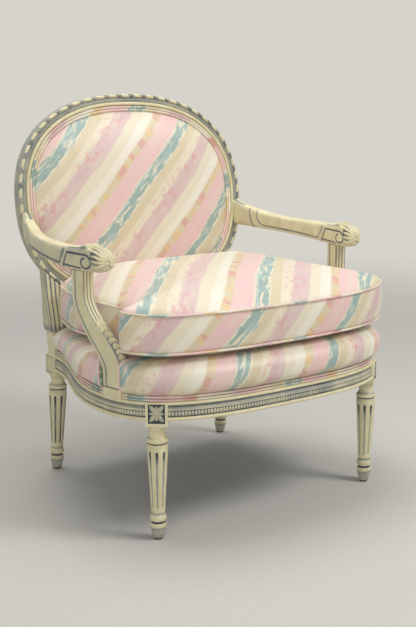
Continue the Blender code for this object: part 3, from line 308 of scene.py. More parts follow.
# %% [markdown]
# Every piece is finished the same way: normals out, slid from the bench frame into the imported frame, shaded
# smooth with true edges kept, and tied to the body it rides on; the solids it stands for are hidden. Painted
# pieces also have their `bend` measured here, along every edge: the normals of two neighbours spread on a
# crest and close in a hollow.

# %% Finishing a piece
SEAT_FRONT_BOW = 0.072
BORDER_BULGE = 0.009
BENCH_TO_FRAME = CAD_LOW.y + SEAT_FRONT_BOW + BORDER_BULGE


def read_rows(items, key, width, kind=np.float32):
    """One property of many mesh items, as a table."""
    values = np.empty(len(items) * width, kind)
    items.foreach_get(key, values)
    return values.reshape(-1, width)


def measure_bend(mesh):
    count = len(mesh.vertices)
    places, normals = (read_rows(mesh.vertices, key, 3) for key in ("co", "normal"))
    ends = read_rows(mesh.edges, "vertices", 2, np.int32)
    step = places[ends[:, 1]] - places[ends[:, 0]]
    turn = normals[ends[:, 1]] - normals[ends[:, 0]]
    bend = (step * turn).sum(1) / np.maximum((step ** 2).sum(1), 1e-9)
    total, weight = np.zeros(count), np.zeros(count)
    for end in (0, 1):
        np.add.at(total, ends[:, end], bend)
        np.add.at(weight, ends[:, end], 1)
    layer = mesh.attributes.new("bend", "FLOAT", "POINT")
    layer.data.foreach_set("value", (total / np.maximum(weight, 1)).astype(np.float32))


def finish_piece(name, bm, material, replaces=(), body="frame", edge=32, merge=0.0):
    if merge:
        bmesh.ops.remove_doubles(bm, verts=bm.verts, dist=merge)
    bmesh.ops.recalc_face_normals(bm, faces=bm.faces)
    bmesh.ops.translate(bm, verts=bm.verts, vec=(0, BENCH_TO_FRAME, 0))
    mesh = as_mesh(name, bm)
    mesh.materials.append(material)
    mesh.shade_smooth()
    mesh.set_sharp_from_angle(angle=math.radians(edge))
    if material is PAINT:
        measure_bend(mesh)
    made = stand(name, mesh)
    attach(made, body)
    if replaces:
        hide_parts(*replaces)
    return made


def painted(name, bm, replaces=(), edge=32):
    finish_piece(name, bm, PAINT, replaces, edge=edge)


def glazed_mesh():
    """An empty shape, and the layer that will hold its glaze."""
    bm = bmesh.new()
    return bm, bm.verts.layers.float.new("glaze")


def brush(verts, glaze, level):
    for vert in verts:
        vert[glaze] = level


print("pieces will slide by", round(BENCH_TO_FRAME, 4), "m")

# %% [markdown]
# Most of the frame is a section carried along a line. `sweep` draws the first section as a loop of edges
# and extrudes it to each next one, as you would by hand with extrude and move. It keeps the glaze of every
# point, and writes two lengths, along the line and round the section, to a UV map called `cloth`.

# %% Sweeping a section
def sweep(sections, glazes=None, caps=True):
    """The glazes are one list for all sections, or a list for each."""
    bm, glaze = glazed_mesh()
    cloth = bm.loops.layers.uv.new("cloth")
    row = [bm.verts.new(point) for point in sections[0]]
    count = len(row)
    edges = [bm.edges.new((row[i], row[(i + 1) % count])) for i in range(count)]
    first_edges, rows = edges, [row]
    for section in sections[1:]:
        fresh = {v for v in bmesh.ops.extrude_edge_only(bm, edges=edges)["geom"]
                 if isinstance(v, bmesh.types.BMVert)}
        row = [next(e.other_vert(v) for e in v.link_edges if e.other_vert(v) in fresh) for v in rows[-1]]
        for vert, point in zip(row, section):
            vert.co = point
        edges = [bm.edges.get((row[i], row[(i + 1) % count])) for i in range(count)]
        rows.append(row)
    run, lengths = 0.0, {}
    for k, row in enumerate(rows):
        if k:
            run += sum((a.co - b.co).length for a, b in zip(row, rows[k - 1])) / count
        around = 0.0
        for i, vert in enumerate(row):
            around += (vert.co - row[i - 1].co).length if i else 0.0
            lengths[vert] = run, around
            if glazes is not None:
                vert[glaze] = glazes[k][i] if isinstance(glazes[0], (list, tuple)) else glazes[i]
    for face in bm.faces:
        girths = [lengths[vert][1] for vert in face.verts]
        turn = max(girths) - min(girths)
        for loop in face.loops:
            along, girth = lengths[loop.vert]
            wrapped = turn if turn > 0.5 * around and girth == 0 else 0
            loop[cloth].uv = (along, girth + wrapped)
    if caps:
        bmesh.ops.holes_fill(bm, edges=edges + first_edges)
    return bm


def through(knots, values, at):
    """A smooth curve through a few values, read at one place or many."""
    knots, values = np.asarray(knots, float), np.asarray(values, float)
    slopes = np.gradient(values, knots)
    at = np.clip(at, knots[0], knots[-1])
    i = np.clip(np.searchsorted(knots, at) - 1, 0, len(knots) - 2)
    width = knots[i + 1] - knots[i]
    t = (at - knots[i]) / width
    return (values[i] * (1 + 2 * t) * (1 - t) ** 2 + slopes[i] * width * t * (1 - t) ** 2
            + values[i + 1] * t ** 2 * (3 - 2 * t) - slopes[i + 1] * width * t ** 2 * (1 - t))


def ease(t):
    return (1 - math.cos(math.pi * min(max(t, 0), 1))) / 2


def circle(points):
    """Cosine and sine at even steps of a turn."""
    return [(math.cos(math.tau * k / points), math.sin(math.tau * k / points)) for k in range(points)]


def running_length(points):
    """The length run along a line, at each of its points."""
    return np.concatenate(([0], np.cumsum(np.hypot(*np.diff(points, axis=0).T))))


def join_shapes(bm, other):
    """Copy one bmesh into another."""
    carrier = as_mesh("carrier", other)
    bm.from_mesh(carrier)
    bpy.data.meshes.remove(carrier)
    return bm


print("tools ready")

# %% [markdown]
# ## The seat plan
# In plan the seat rails follow one line: a bowed front that runs round the corners as part of a
# superellipse, then sides that draw in to the back in an S. We sample the line finely once and read every
# rail, border and welt from it by the length run from its front centre.

# %% Seat plan
SEAT_HALF_WIDTH = 0.346
SEAT_WIDEST_Y = 0.130
SEAT_CORNER_POWER = 2.8
SEAT_REAR_NARROWING = 0.084
SEAT_REAR_Y = 0.470


def superellipse(angle, a, b, power):
    c, s = math.cos(angle), math.sin(angle)
    radius = (abs(c / a) ** power + abs(s / b) ** power) ** (-1 / power)
    return radius * c, radius * s


def seat_half_plan(steps=400):
    points = []
    for angle in np.linspace(-math.pi / 2, 0, steps):
        x, y = superellipse(angle, SEAT_HALF_WIDTH, SEAT_WIDEST_Y + SEAT_FRONT_BOW, SEAT_CORNER_POWER)
        points.append((x, y + SEAT_WIDEST_Y))
    for t in np.linspace(0, 1, steps)[1:]:
        x = SEAT_HALF_WIDTH - SEAT_REAR_NARROWING * ease(t)
        points.append((x, SEAT_WIDEST_Y + t * (SEAT_REAR_Y - SEAT_WIDEST_Y)))
    return np.array(points)


HALF_PLAN = seat_half_plan()
HALF_RUN = running_length(HALF_PLAN)
RUN = np.concatenate((-HALF_RUN[:0:-1], HALF_RUN))
PLAN = np.concatenate((HALF_PLAN[:0:-1] * (-1, 1), HALF_PLAN))
SLOPE = np.gradient(PLAN, RUN, axis=0)


def plan_at(run):
    """Place and outward normal on the plan."""
    place = Vector((np.interp(run, RUN, PLAN[:, 0]), np.interp(run, RUN, PLAN[:, 1]), 0))
    normal = Vector((np.interp(run, RUN, SLOPE[:, 1]), -np.interp(run, RUN, SLOPE[:, 0]), 0))
    return place, normal.normalized()


def run_at_y(y):
    return float(np.interp(y, HALF_PLAN[:, 1], HALF_RUN))


def half_width_at(y):
    return float(np.interp(y, HALF_PLAN[:, 1], HALF_PLAN[:, 0]))


def inset_plan(run, inset):
    place, normal = plan_at(run)
    return place - normal * inset


def run_crossing(point, direction, near, inset=0.0, window=0.09):
    """Length run where the plan, moved in, crosses the plane through a point square to a direction."""
    runs = np.linspace(near - window, near + window, 361)
    reach = np.array([(inset_plan(run, inset) - point).dot(direction) for run in runs])
    if reach[0] > reach[-1]:
        runs, reach = runs[::-1], reach[::-1]
    return float(np.interp(0, reach, runs))


def raised(place, z):
    return Vector((place.x, place.y, z))


print("half the seat's edge runs", round(float(HALF_RUN[-1]), 3), "m")

# %% [markdown]
# ## Turned legs
# A turner shapes the leg from one square billet: a tapering foot, an ankle ring, a fluted shaft, a collar
# and a hollow neck under the square block. The lathe's work is a `spin` of the outline. The flutes are cut
# afterwards: each is a channel with round ends, so points near its centre line sink by the depth of a
# circle's arc.

# %% Turned legs
LEG_HEIGHT = 0.2325
FOOT_BOTTOM = 0.0033
FLUTES = 8
FLUTE_DEPTH = 0.0018
FLUTE_HALF_WIDTH = 0.20
FLUTE_LOW, FLUTE_HIGH = 0.068, 0.1795
FLUTE_TOP_GLAZE = 0.95
FLUTE_FADE = 0.034
FLUTE_SPREAD = 1.2
SHAFT_LOW, SHAFT_HIGH = 0.0575, 0.1860
SHAFT_FOOT_RADIUS, SHAFT_TOP_RADIUS = 0.0138, 0.0207
SPIN_STEPS = 128
LEG_GLAZES = ((0.0, 0.0256, 0.36), (0.0342, 0.0381, 0.9), (0.0508, 0.0562, 0.34), (0.1960, 0.1984, 0.85),
              (0.2065, 0.2112, 0.25), (0.2255, 0.2262, 0.5))


def swell(low, high, radius, bulge, steps=7):
    """A half-round ring or, with a negative bulge, a hollow, as (height, radius)."""
    points = []
    for k in range(steps + 1):
        t = k / steps
        points.append((low + (high - low) * (1 - math.cos(math.pi * t)) / 2,
                       radius + bulge * math.sin(math.pi * t)))
    return points


def shaft_radius(z):
    share = (z - SHAFT_LOW) / (SHAFT_HIGH - SHAFT_LOW)
    return SHAFT_FOOT_RADIUS + (SHAFT_TOP_RADIUS - SHAFT_FOOT_RADIUS) * share


def leg_outline():
    foot = [(FOOT_BOTTOM, 0.0), (FOOT_BOTTOM, 0.0098), (0.0048, 0.0110), (0.0150, 0.0131), (0.0252, 0.0149)]
    foot += swell(0.0258, 0.0335, 0.0150, 0.0010)
    ankle = [(0.0345, 0.0128), (0.0378, 0.0128)] + swell(0.0390, 0.0500, 0.0150, 0.0014)
    ankle += [(0.0512, 0.0146), (0.0528, 0.0131), (0.0550, 0.0131), (0.0560, 0.0137)]
    heights = list(np.linspace(SHAFT_LOW, FLUTE_LOW - 0.005, 4))
    heights += list(np.linspace(FLUTE_LOW - 0.004, FLUTE_LOW + 0.003, 10))
    heights += list(np.linspace(FLUTE_LOW + 0.008, FLUTE_HIGH - 0.008, 14))
    heights += list(np.linspace(FLUTE_HIGH - 0.003, FLUTE_HIGH + 0.004, 10))
    heights += [FLUTE_HIGH + 0.006, SHAFT_HIGH, 0.1915]
    shaft = [(z, shaft_radius(min(z, SHAFT_HIGH))) for z in heights]
    collar = swell(0.1928, 0.1958, 0.0198, 0.0006, 5)
    collar += [(0.1962, 0.0182), (0.1982, 0.0182), (0.1986, 0.0196)]
    collar += swell(0.1990, 0.2064, 0.0199, 0.0016)
    bends, radii = (0.2070, 0.2110, 0.2162, 0.2252), (0.0195, 0.0165, 0.0152, 0.0168)
    neck = [(z, float(through(bends, radii, z))) for z in np.linspace(bends[0], bends[-1], 12)]
    plate = swell(0.2260, 0.2300, 0.0176, 0.0006, 5) + [(0.2304, 0.0172), (0.2335, 0.0172), (0.2335, 0.0)]
    return foot + ankle + shaft + collar + neck + plate


def flute_share(angle, z, radius):
    """How deep in a flute a point lies: 0 outside, 1 on its centre line."""
    pitch = math.tau / FLUTES
    off = (angle / pitch - math.floor(angle / pitch + 0.5)) * pitch * radius
    past = z - min(max(z, FLUTE_LOW), FLUTE_HIGH)
    away = math.hypot(off, past) / (FLUTE_HALF_WIDTH * pitch * radius)
    return math.sqrt(max(0.0, 1 - away ** 2))


def turn_leg(facing, flute_glaze_and_shade):
    """The turned part, standing on the origin. Glaze lies in bands, and in the flutes most at their tops; on
    the rear legs the flutes also carry painted shade.
    """
    bm, glaze = glazed_mesh()
    line = [bm.verts.new((radius, 0, z)) for z, radius in leg_outline()]
    edges = [bm.edges.new(pair) for pair in zip(line, line[1:])]
    bmesh.ops.spin(bm, geom=line + edges, axis=UP, cent=(0, 0, 0), angle=math.tau, steps=SPIN_STEPS,
                   use_merge=True)
    bmesh.ops.remove_doubles(bm, verts=bm.verts, dist=1e-6)
    for vert in bm.verts:
        radius, z = math.hypot(vert.co.x, vert.co.y), vert.co.z
        for low, high, level in LEG_GLAZES:
            if low <= z <= high:
                vert[glaze] = level
        if SHAFT_LOW < z < SHAFT_HIGH:
            share = flute_share(math.atan2(vert.co.y, vert.co.x), z, radius)
            vert.co.xy *= 1 - FLUTE_DEPTH * share / radius
            darker = (FLUTE_TOP_GLAZE - flute_glaze_and_shade) * ease((z - FLUTE_HIGH + FLUTE_FADE) / FLUTE_FADE)
            vert[glaze] = (flute_glaze_and_shade + darker) * ease(FLUTE_SPREAD * share)
    bmesh.ops.rotate(bm, verts=bm.verts, cent=(0, 0, 0), matrix=Matrix.Rotation(facing, 3, "Z"))
    return bm


print("leg outline points:", len(leg_outline()))

# %% [markdown]
# Above the turning each leg keeps a square block that takes the rails. On the front legs it carries a sunk
# panel with a rosette: `inset` draws the panel's edge and pushes its floor in. A petal is a small sphere
# drawn out to a point, and the rosette is a ring of them round a button.

# %% Front legs with rosettes
RAIL_BOTTOM = 0.246
RAIL_HEIGHT = 0.035
RAIL_TOP = RAIL_BOTTOM + RAIL_HEIGHT
FRONT_LEG_X = 0.280
FRONT_LEG_INSET = 0.019
FRONT_BLOCK = 0.043
REAR_BLOCK = 0.041
BLOCK_BEVEL = 0.0011
PANEL_MARGIN = 0.0052
FRONT_BLOCK_SETBACK = 0.0022
PANEL_SHIFT = 0.0020
PANEL_DEPTH = 0.0032
PANEL_LIP = 0.0004
PANEL_LIP_DROP = 0.0003
PANEL_WALL = 0.0005
PANEL_RIM = 0.0010
BLOCK_MIDDLE_Z = (LEG_HEIGHT + RAIL_TOP) / 2
FRONT_FLUTE_GLAZE = 0.26
ROSETTE_GLAZE = 0.28
ROSETTE_WIDTH = 0.84
ROSETTE_PETALS = ((0.0138, 0.0062, 0.0024), (0.0195, 0.0098, 0.0030))
PETAL_START = 0.0022
BUTTON_RADIUS = 0.0032
BUTTON_LIFT = 0.0012
PETAL_TAPER = 0.75
PETAL_KEEL, KEEL_WIDTH = 0.35, 0.16
FRONT_RUNS = np.linspace(0, 0.45, 600)
FRONT_XS = [inset_plan(run, FRONT_LEG_INSET).x for run in FRONT_RUNS]
LEG_RUN = float(np.interp(FRONT_LEG_X, FRONT_XS, FRONT_RUNS))
LEG_PLACE = {side: inset_plan(side * LEG_RUN, FRONT_LEG_INSET) for side in SIDES}
LEG_NORMAL = {side: plan_at(side * LEG_RUN)[1] for side in SIDES}


def square_block(place, facing, depth, width):
    """The square part of a leg, from the turning up to the rail's top."""
    bm = glazed_mesh()[0]
    bmesh.ops.create_cube(bm, size=1)
    bmesh.ops.scale(bm, verts=bm.verts, vec=(depth, width, RAIL_TOP - LEG_HEIGHT))
    bmesh.ops.bevel(bm, geom=bm.edges, offset=BLOCK_BEVEL, offset_type="OFFSET", affect="EDGES", segments=3,
                    profile=0.5, material=-1)
    bmesh.ops.rotate(bm, verts=bm.verts, cent=(0, 0, 0), matrix=Matrix.Rotation(facing, 3, "Z"))
    bmesh.ops.translate(bm, verts=bm.verts, vec=raised(place, BLOCK_MIDDLE_Z))
    return bm


def sink_panel(bm, outward, margin, depth, level, shift=0.0):
    """Inset the face that looks outward and push its floor in; the floor holds glaze."""
    glaze = bm.verts.layers.float["glaze"]
    bm.faces.ensure_lookup_table()
    face = max(bm.faces, key=lambda f: f.normal.dot(outward) * f.calc_area())
    bmesh.ops.inset_individual(bm, faces=[face], thickness=margin)
    bmesh.ops.translate(bm, verts=face.verts, vec=UP * shift)
    bmesh.ops.inset_individual(bm, faces=[face], thickness=PANEL_LIP, depth=-PANEL_LIP_DROP)
    brush(face.verts, glaze, 0.5 * level)
    bmesh.ops.inset_individual(bm, faces=[face], thickness=PANEL_WALL, depth=-depth)
    brush(face.verts, glaze, level)
    bmesh.ops.inset_individual(bm, faces=[face], thickness=PANEL_RIM)
    brush(face.verts, glaze, level)
    return face


def petal(bm, root, along, out, length, width, height):
    """A pointed, keeled leaf lying on a face: root on the face, along its length, out of the face."""
    across = out.cross(along)
    made = bmesh.ops.create_uvsphere(bm, u_segments=14, v_segments=8, radius=1.0)["verts"]
    for vert in made:
        x, y, z = vert.co
        taper = 1 - PETAL_TAPER * max(0.0, x) ** 2
        keel = 1 - PETAL_KEEL * math.exp(-(y / KEEL_WIDTH) ** 2)
        vert.co = (root + along * length * (x + 1) / 2 + across * width / 2 * y * taper
                   + out * height * z * keel * (0.55 + 0.45 * taper))


def rosette(centre, out):
    """Eight petals, short and long by turns, round a button."""
    bm, glaze = glazed_mesh()
    across = UP.cross(out)
    for k in range(8):
        angle = math.radians(45 * k)
        along = (across * math.cos(angle) * ROSETTE_WIDTH + UP * math.sin(angle)).normalized()
        petal(bm, centre + along * PETAL_START, along, out, *ROSETTE_PETALS[k % 2])
    made = bmesh.ops.create_uvsphere(bm, u_segments=14, v_segments=8, radius=BUTTON_RADIUS)["verts"]
    bmesh.ops.translate(bm, verts=made, vec=centre + out * BUTTON_LIFT)
    brush(bm.verts, glaze, ROSETTE_GLAZE)
    return bm


def front_leg(side):
    place, normal = LEG_PLACE[side], LEG_NORMAL[side]
    facing = math.atan2(normal.y, normal.x)
    bm = turn_leg(facing, FRONT_FLUTE_GLAZE)
    bmesh.ops.translate(bm, verts=bm.verts, vec=place)
    block_place = place - normal * FRONT_BLOCK_SETBACK / 2
    block = square_block(block_place, facing, FRONT_BLOCK - FRONT_BLOCK_SETBACK, FRONT_BLOCK)
    sink_panel(block, normal, PANEL_MARGIN, PANEL_DEPTH, 1.0, PANEL_SHIFT)
    join_shapes(bm, block)
    centre = raised(place, BLOCK_MIDDLE_Z + PANEL_SHIFT)
    centre += normal * (FRONT_BLOCK / 2 - FRONT_BLOCK_SETBACK - PANEL_DEPTH)
    name = f"front_leg_{SIDES[side]}"
    painted(f"turned_{name}", bm, [name])
    painted(f"rosette_{SIDES[side]}", rosette(centre, normal))


for side in SIDES:
    front_leg(side)
print("front legs stand at x", FRONT_LEG_X)

# %% [markdown]
# ## Seat rails
# A rail's moulding, from below: a half-round, a dark groove, a dark band that carries pearls, a pale band,
# a hollow that holds some glaze, and a plain fillet. The section is swept along the plan and squared off
# against the leg blocks, so the last stations lean to the block's face.

# %% Moulded seat rails
RAIL_DEPTH = 0.040
RAIL_REBATE = 0.0145
RAIL_REBATE_HEIGHT = 0.005
JOINT_GAP = 0.0003
PEARL_HEIGHT = 0.350
MOULDING_DROP = 0.0022
PEARL_PITCH = 0.0066
PEARL_RADIUS = 0.0030
PEARL_FORM = (0.62, 0.92, 1.45, 1.0)
PEARL_INSET = 0.0036
PEARL_GLAZE = 0.24
REAR_LEG_X = 0.240
REAR_LEG_Y = SEAT_REAR_Y + 0.0057


def rail_section():
    """(inset, height, glaze) round the rail's section."""
    h = RAIL_HEIGHT
    rows = [(RAIL_REBATE, 0, 0.2), (0.0042, 0, 0.1)]
    for k in range(9):
        angle = math.radians(-80 + 170 * k / 8)
        rows.append((0.0045 - 0.0045 * math.cos(angle), 0.105 * h + 0.105 * h * math.sin(angle), 0.0))
    rows += [(0.0052, 0.215 * h, 0.5), (0.0057, 0.224 * h, 0.9), (0.0057, 0.246 * h, 0.9),
             (0.0042, 0.258 * h, 0.5), (0.0036, 0.266 * h, 0.70)]
    rows = [(inset, z - MOULDING_DROP, level) for inset, z, level in rows]
    rows += [(0.0036, 0.38 * h, 0.72), (0.0036, 0.492 * h, 0.70), (0.0030, 0.502 * h, 0.40),
             (0.0026, 0.515 * h, 0.30), (0.0024, 0.575 * h, 0.26), (0.0026, 0.635 * h, 0.30),
             (0.0034, 0.650 * h, 0.45)]
    for k in range(7):
        hollow = math.sin(math.pi * k / 6)
        rows.append((0.0044 + 0.0030 * hollow, (0.658 + 0.155 * k / 6) * h, 0.30 + 0.14 * hollow))
    rows += [(0.0050, 0.820 * h, 0.52), (0.0048, 0.828 * h, 0.48), (0.0036, 0.840 * h, 0.05),
             (0.0036, 0.97 * h, 0.0), (0.0042, h, 0.0), (RAIL_DEPTH, h, 0.2),
             (RAIL_DEPTH, RAIL_REBATE_HEIGHT, 0.2), (RAIL_REBATE, RAIL_REBATE_HEIGHT, 0.2)]
    return [(inset, RAIL_BOTTOM + z, level) for inset, z, level in rows]


def signed_angle(a, b):
    return math.atan2(a.x * b.y - a.y * b.x, a.x * b.x + a.y * b.y)


def on_plan(profile, starts, ends, steps, lean_start=0.0, lean_end=0.0, bulge=lambda t: 1.0):
    """Sections of a profile of (inset, height) along the plan; each point may have its own start and end."""
    sections = []
    for i in range(steps + 1):
        t = i / steps
        lean = lean_start * (1 - t) ** 3 + lean_end * t ** 3
        section = []
        for (inset, z), start, end in zip(profile, starts, ends):
            place, normal = plan_at(start + (end - start) * t)
            normal.rotate(Matrix.Rotation(lean, 3, "Z"))
            reach = inset * (bulge(t) if inset < 0 else 1.0) / math.cos(lean)
            section.append(raised(place - normal * reach, z))
        sections.append(section)
    return sections


def leg_shoulder(side, toward):
    """Run and lean of a rail's end against a front block; toward is +1 on the block's far side."""
    normal = LEG_NORMAL[side]
    tangent = Vector((-normal.y, normal.x, 0))
    shoulder = LEG_PLACE[side] + tangent * toward * side * (FRONT_BLOCK / 2 + JOINT_GAP)
    end = run_crossing(shoulder, tangent, side * LEG_RUN)
    return end, signed_angle(plan_at(end)[1], normal)


def pearl_row(name, length, spot_at):
    """Pearls of a few dozen faces along a rail; spot_at gives place and normal at a share of the length."""
    bm, glaze = glazed_mesh()
    count = int(length / PEARL_PITCH)
    for k in range(count):
        place, normal = spot_at((k + 0.5) / count)
        place = raised(place - normal * PEARL_INSET, RAIL_BOTTOM + PEARL_HEIGHT * RAIL_HEIGHT)
        turn = Matrix.Rotation(math.atan2(normal.y, normal.x), 4, "Z")
        spot = Matrix.Translation(place) @ turn @ Matrix.Diagonal(PEARL_FORM)
        bmesh.ops.create_uvsphere(bm, u_segments=10, v_segments=7, radius=PEARL_RADIUS, matrix=spot)
    brush(bm.verts, glaze, PEARL_GLAZE)
    painted(name, bm, edge=180)
    return count


def plan_rail(label, name, start, end, steps, leans):
    """A rail along the plan with its pearls; label and name say which rail it is."""
    rows = rail_section()
    profile, levels = [row[:2] for row in rows], [row[2] for row in rows]
    sections = on_plan(profile, [start] * len(rows), [end] * len(rows), steps, *leans)
    painted(f"moulded_{label}_rail{name}", sweep(sections, levels), [f"{label}_seat_rail{name}"])
    length = end - start
    return pearl_row(f"{label}_rail_pearls{name}", abs(length), lambda t: plan_at(start + length * t))


def build_rails():
    (left, left_lean), (right, right_lean) = leg_shoulder(-1, -1), leg_shoulder(1, -1)
    total = plan_rail("front", "", left, right, 90, (left_lean, right_lean))
    for side, name in SIDES.items():
        start, lean = leg_shoulder(side, 1)
        end = side * run_at_y(REAR_LEG_Y - REAR_BLOCK / 2 - JOINT_GAP)
        square = signed_angle(plan_at(end)[1], Vector((side, 0, 0)))
        total += plan_rail("side", f"_{name}", start, end, 80, (lean, square))
    half, outer = REAR_LEG_X - REAR_BLOCK / 2 - JOINT_GAP, REAR_LEG_Y + REAR_BLOCK / 2
    rows = rail_section()
    sections = [[Vector((x, outer - inset, z)) for inset, z, _ in rows] for x in np.linspace(-half, half, 24)]
    painted("moulded_back_rail", sweep(sections, [row[2] for row in rows]), ["back_seat_rail"])
    return total + pearl_row("back_rail_pearls", 2 * half,
                             lambda t: (Vector((half * (2 * t - 1), outer, 0)), Vector((0, 1, 0))))


print("pearls on the rails:", build_rails())

# %% [markdown]
# ## The medallion
# The back is a flat, raked oval ring in four arcs. Its front has three bands: a rod wound with a ribbon
# along the outer edge, a double hollow that holds the glaze, and a cream bead inside. We place points on
# the raked plane by their distance across, up and out of it.

# %% Medallion frame
BACK_RAKE = math.radians(7.5)
BACK_FOOT_RISE = 0.095
BACK_SETBACK = -0.004
BACK_HALF_WIDTH = 0.308
BACK_HALF_HEIGHT = 0.245
BACK_POWER = 2.35
BACK_FRAME_WIDTH = 0.0265
HALF_FRAME = 0.0145
CREST_END = math.radians(30)
LOWER_RAIL_END = math.radians(-44)
BACK_CENTRE_Z = RAIL_TOP + BACK_FOOT_RISE + BACK_HALF_HEIGHT


def back_plane_y(z):
    return REAR_LEG_Y + BACK_SETBACK + (z - RAIL_TOP) * math.tan(BACK_RAKE)


BACK_CENTRE = Vector((0, back_plane_y(BACK_CENTRE_Z), BACK_CENTRE_Z))
BACK_UP = Vector((0, math.sin(BACK_RAKE), math.cos(BACK_RAKE)))
BACK_FRONT = Vector((0, -math.cos(BACK_RAKE), math.sin(BACK_RAKE)))


def on_back(u, v, depth):
    return BACK_CENTRE + Vector((u, 0, 0)) + BACK_UP * v + BACK_FRONT * depth


def back_outline(angle, inset):
    """A point of the oval, moved in square to its edge."""
    u, v = superellipse(angle, BACK_HALF_WIDTH, BACK_HALF_HEIGHT, BACK_POWER)
    power = BACK_POWER - 1
    nu = math.copysign(abs(u / BACK_HALF_WIDTH) ** power / BACK_HALF_WIDTH, u)
    nv = math.copysign(abs(v / BACK_HALF_HEIGHT) ** power / BACK_HALF_HEIGHT, v)
    size = math.hypot(nu, nv)
    return u - inset * nu / size, v - inset * nv / size


ROD_INSET = 0.0043
ROD_DEPTH = 0.0104
ROD_RADIUS = 0.0029
ROD_GLAZE = 0.62
RING_HOLLOWS = ((0.0084, 0.0139, 0.0015, 0.46), (0.0148, 0.0174, 0.0010, 0.34))
BEAD_INSET, BEAD_DEPTH = 0.0225, 0.0098
BEAD_WIDTH, BEAD_HEIGHT = 0.0040, 0.0046


def frame_section():
    """(inset, depth, glaze) round the ring's section, from the rear outer edge over the front."""
    rows = [(0.0004, -0.9 * HALF_FRAME, 0.25), (0, -0.8 * HALF_FRAME, 0.3), (0, -0.002, 0.42),
            (0, 0.0060, 0.42), (0.0003, 0.0086, 0.3), (0.0010, 0.0098, 0.6)]
    for k in range(9):
        angle = math.pi * k / 8
        across, out = ROD_RADIUS * math.cos(angle), ROD_RADIUS * math.sin(angle)
        rows.append((ROD_INSET - across, ROD_DEPTH + out, ROD_GLAZE))
    rows += [(0.0076, 0.0098, 0.8), (0.0081, 0.0098, 0.6)]
    for low, high, sink, level in RING_HOLLOWS:
        for k in range(6):
            t = k / 5
            rows.append((low + (high - low) * t, 0.0104 - sink * math.sin(math.pi * t), level))
        rows.append((high + 0.0004, 0.0107, 0.05))
    rows += [(0.0180, 0.0092, 0.7), (0.0184, 0.0092, 0.5)]
    for k in range(9):
        angle = math.radians(10 + 165 * k / 8)
        across, out = BEAD_WIDTH * math.cos(angle), BEAD_HEIGHT * math.sin(angle)
        rows.append((BEAD_INSET - across, BEAD_DEPTH + out, 0.0))
    rows += [(BACK_FRAME_WIDTH, 0.0085, 0.2), (BACK_FRAME_WIDTH, -0.92 * HALF_FRAME, 0.2),
             (0.96 * BACK_FRAME_WIDTH, -HALF_FRAME, 0.1), (0.12 * BACK_FRAME_WIDTH, -HALF_FRAME, 0.15)]
    return rows


BACK_ARCS = {
    "crest_rail": (CREST_END, math.pi - CREST_END, 110),
    "lower_back_rail": (math.pi - LOWER_RAIL_END, math.tau + LOWER_RAIL_END, 80),
    "back_stile_right": (LOWER_RAIL_END, CREST_END, 70),
    "back_stile_left": (math.pi - CREST_END, math.pi - LOWER_RAIL_END, 70),
}


def build_medallion():
    rows = frame_section()
    slack = JOINT_GAP / 2 / BACK_HALF_HEIGHT
    for name, (start, end, steps) in BACK_ARCS.items():
        sections = []
        for angle in np.linspace(start + slack, end - slack, steps):
            sections.append([on_back(*back_outline(angle, inset), depth) for inset, depth, _ in rows])
        bm = sweep(sections, [level for _, _, level in rows])
        painted(f"moulded_{name}", bm, [name])


build_medallion()
print("medallion", 2 * BACK_HALF_WIDTH, "by", 2 * BACK_HALF_HEIGHT, "m")

# %% [markdown]
# The ribbon is carved as cream barrels with slanted ends, and between two barrels its twist shows as a pair
# of thin strands that cross the dark rod. We space them evenly by measuring the oval's edge, not its angle.

# %% Ribbon twist round the medallion
RIBBON_PITCH = 0.034
BARREL_SHARE = 0.56
BARREL_LIFT = 0.0010
BARREL_SLANT = 0.0022
BARREL_TURNS = [math.radians(turn) for turn in (-25, 0, 30, 60, 90, 120, 150, 180, 205)]
STRANDS = ((-0.001, 165, 40, 0.0010), (0.002, 120, 10, 0.0007))
STRAND_LIFT, STRAND_GLAZE = 0.0003, 0.3
OVAL_ANGLES = np.linspace(0, math.tau, 1441)
OVAL_POINTS = np.array([back_outline(angle, ROD_INSET) for angle in OVAL_ANGLES])
OVAL_RUN = running_length(OVAL_POINTS)


def on_rod(run, turn, lift):
    """A point on the rod at a length run round the oval; turn 0 is outward, 90 degrees is forward."""
    angle = float(np.interp(run % OVAL_RUN[-1], OVAL_RUN, OVAL_ANGLES))
    reach = ROD_RADIUS + lift
    inset = ROD_INSET - reach * math.cos(turn)
    return on_back(*back_outline(angle, inset), ROD_DEPTH + reach * math.sin(turn))


def barrel(start, length):
    sections = []
    for t in np.linspace(0, 1, 9):
        lift = BARREL_LIFT * math.sin(math.pi * min(max(t, 0.03), 0.97)) ** 0.4 - 0.0002
        run = start + length * t
        section = [on_rod(run + BARREL_SLANT * math.cos(turn), turn, lift) for turn in BARREL_TURNS]
        sections.append(section + [on_rod(run, math.radians(270), -0.6 * ROD_RADIUS)])
    return sweep(sections)


def strand(start, length, from_turn, to_turn, thick):
    sections = []
    for t in np.linspace(0, 1, 8):
        turn = math.radians(from_turn + (to_turn - from_turn) * ease(t))
        run = start + length * t
        sections.append([on_rod(run + thick * c, turn, STRAND_LIFT + thick * s) for c, s in circle(6)])
    return sweep(sections, [STRAND_GLAZE] * 6)


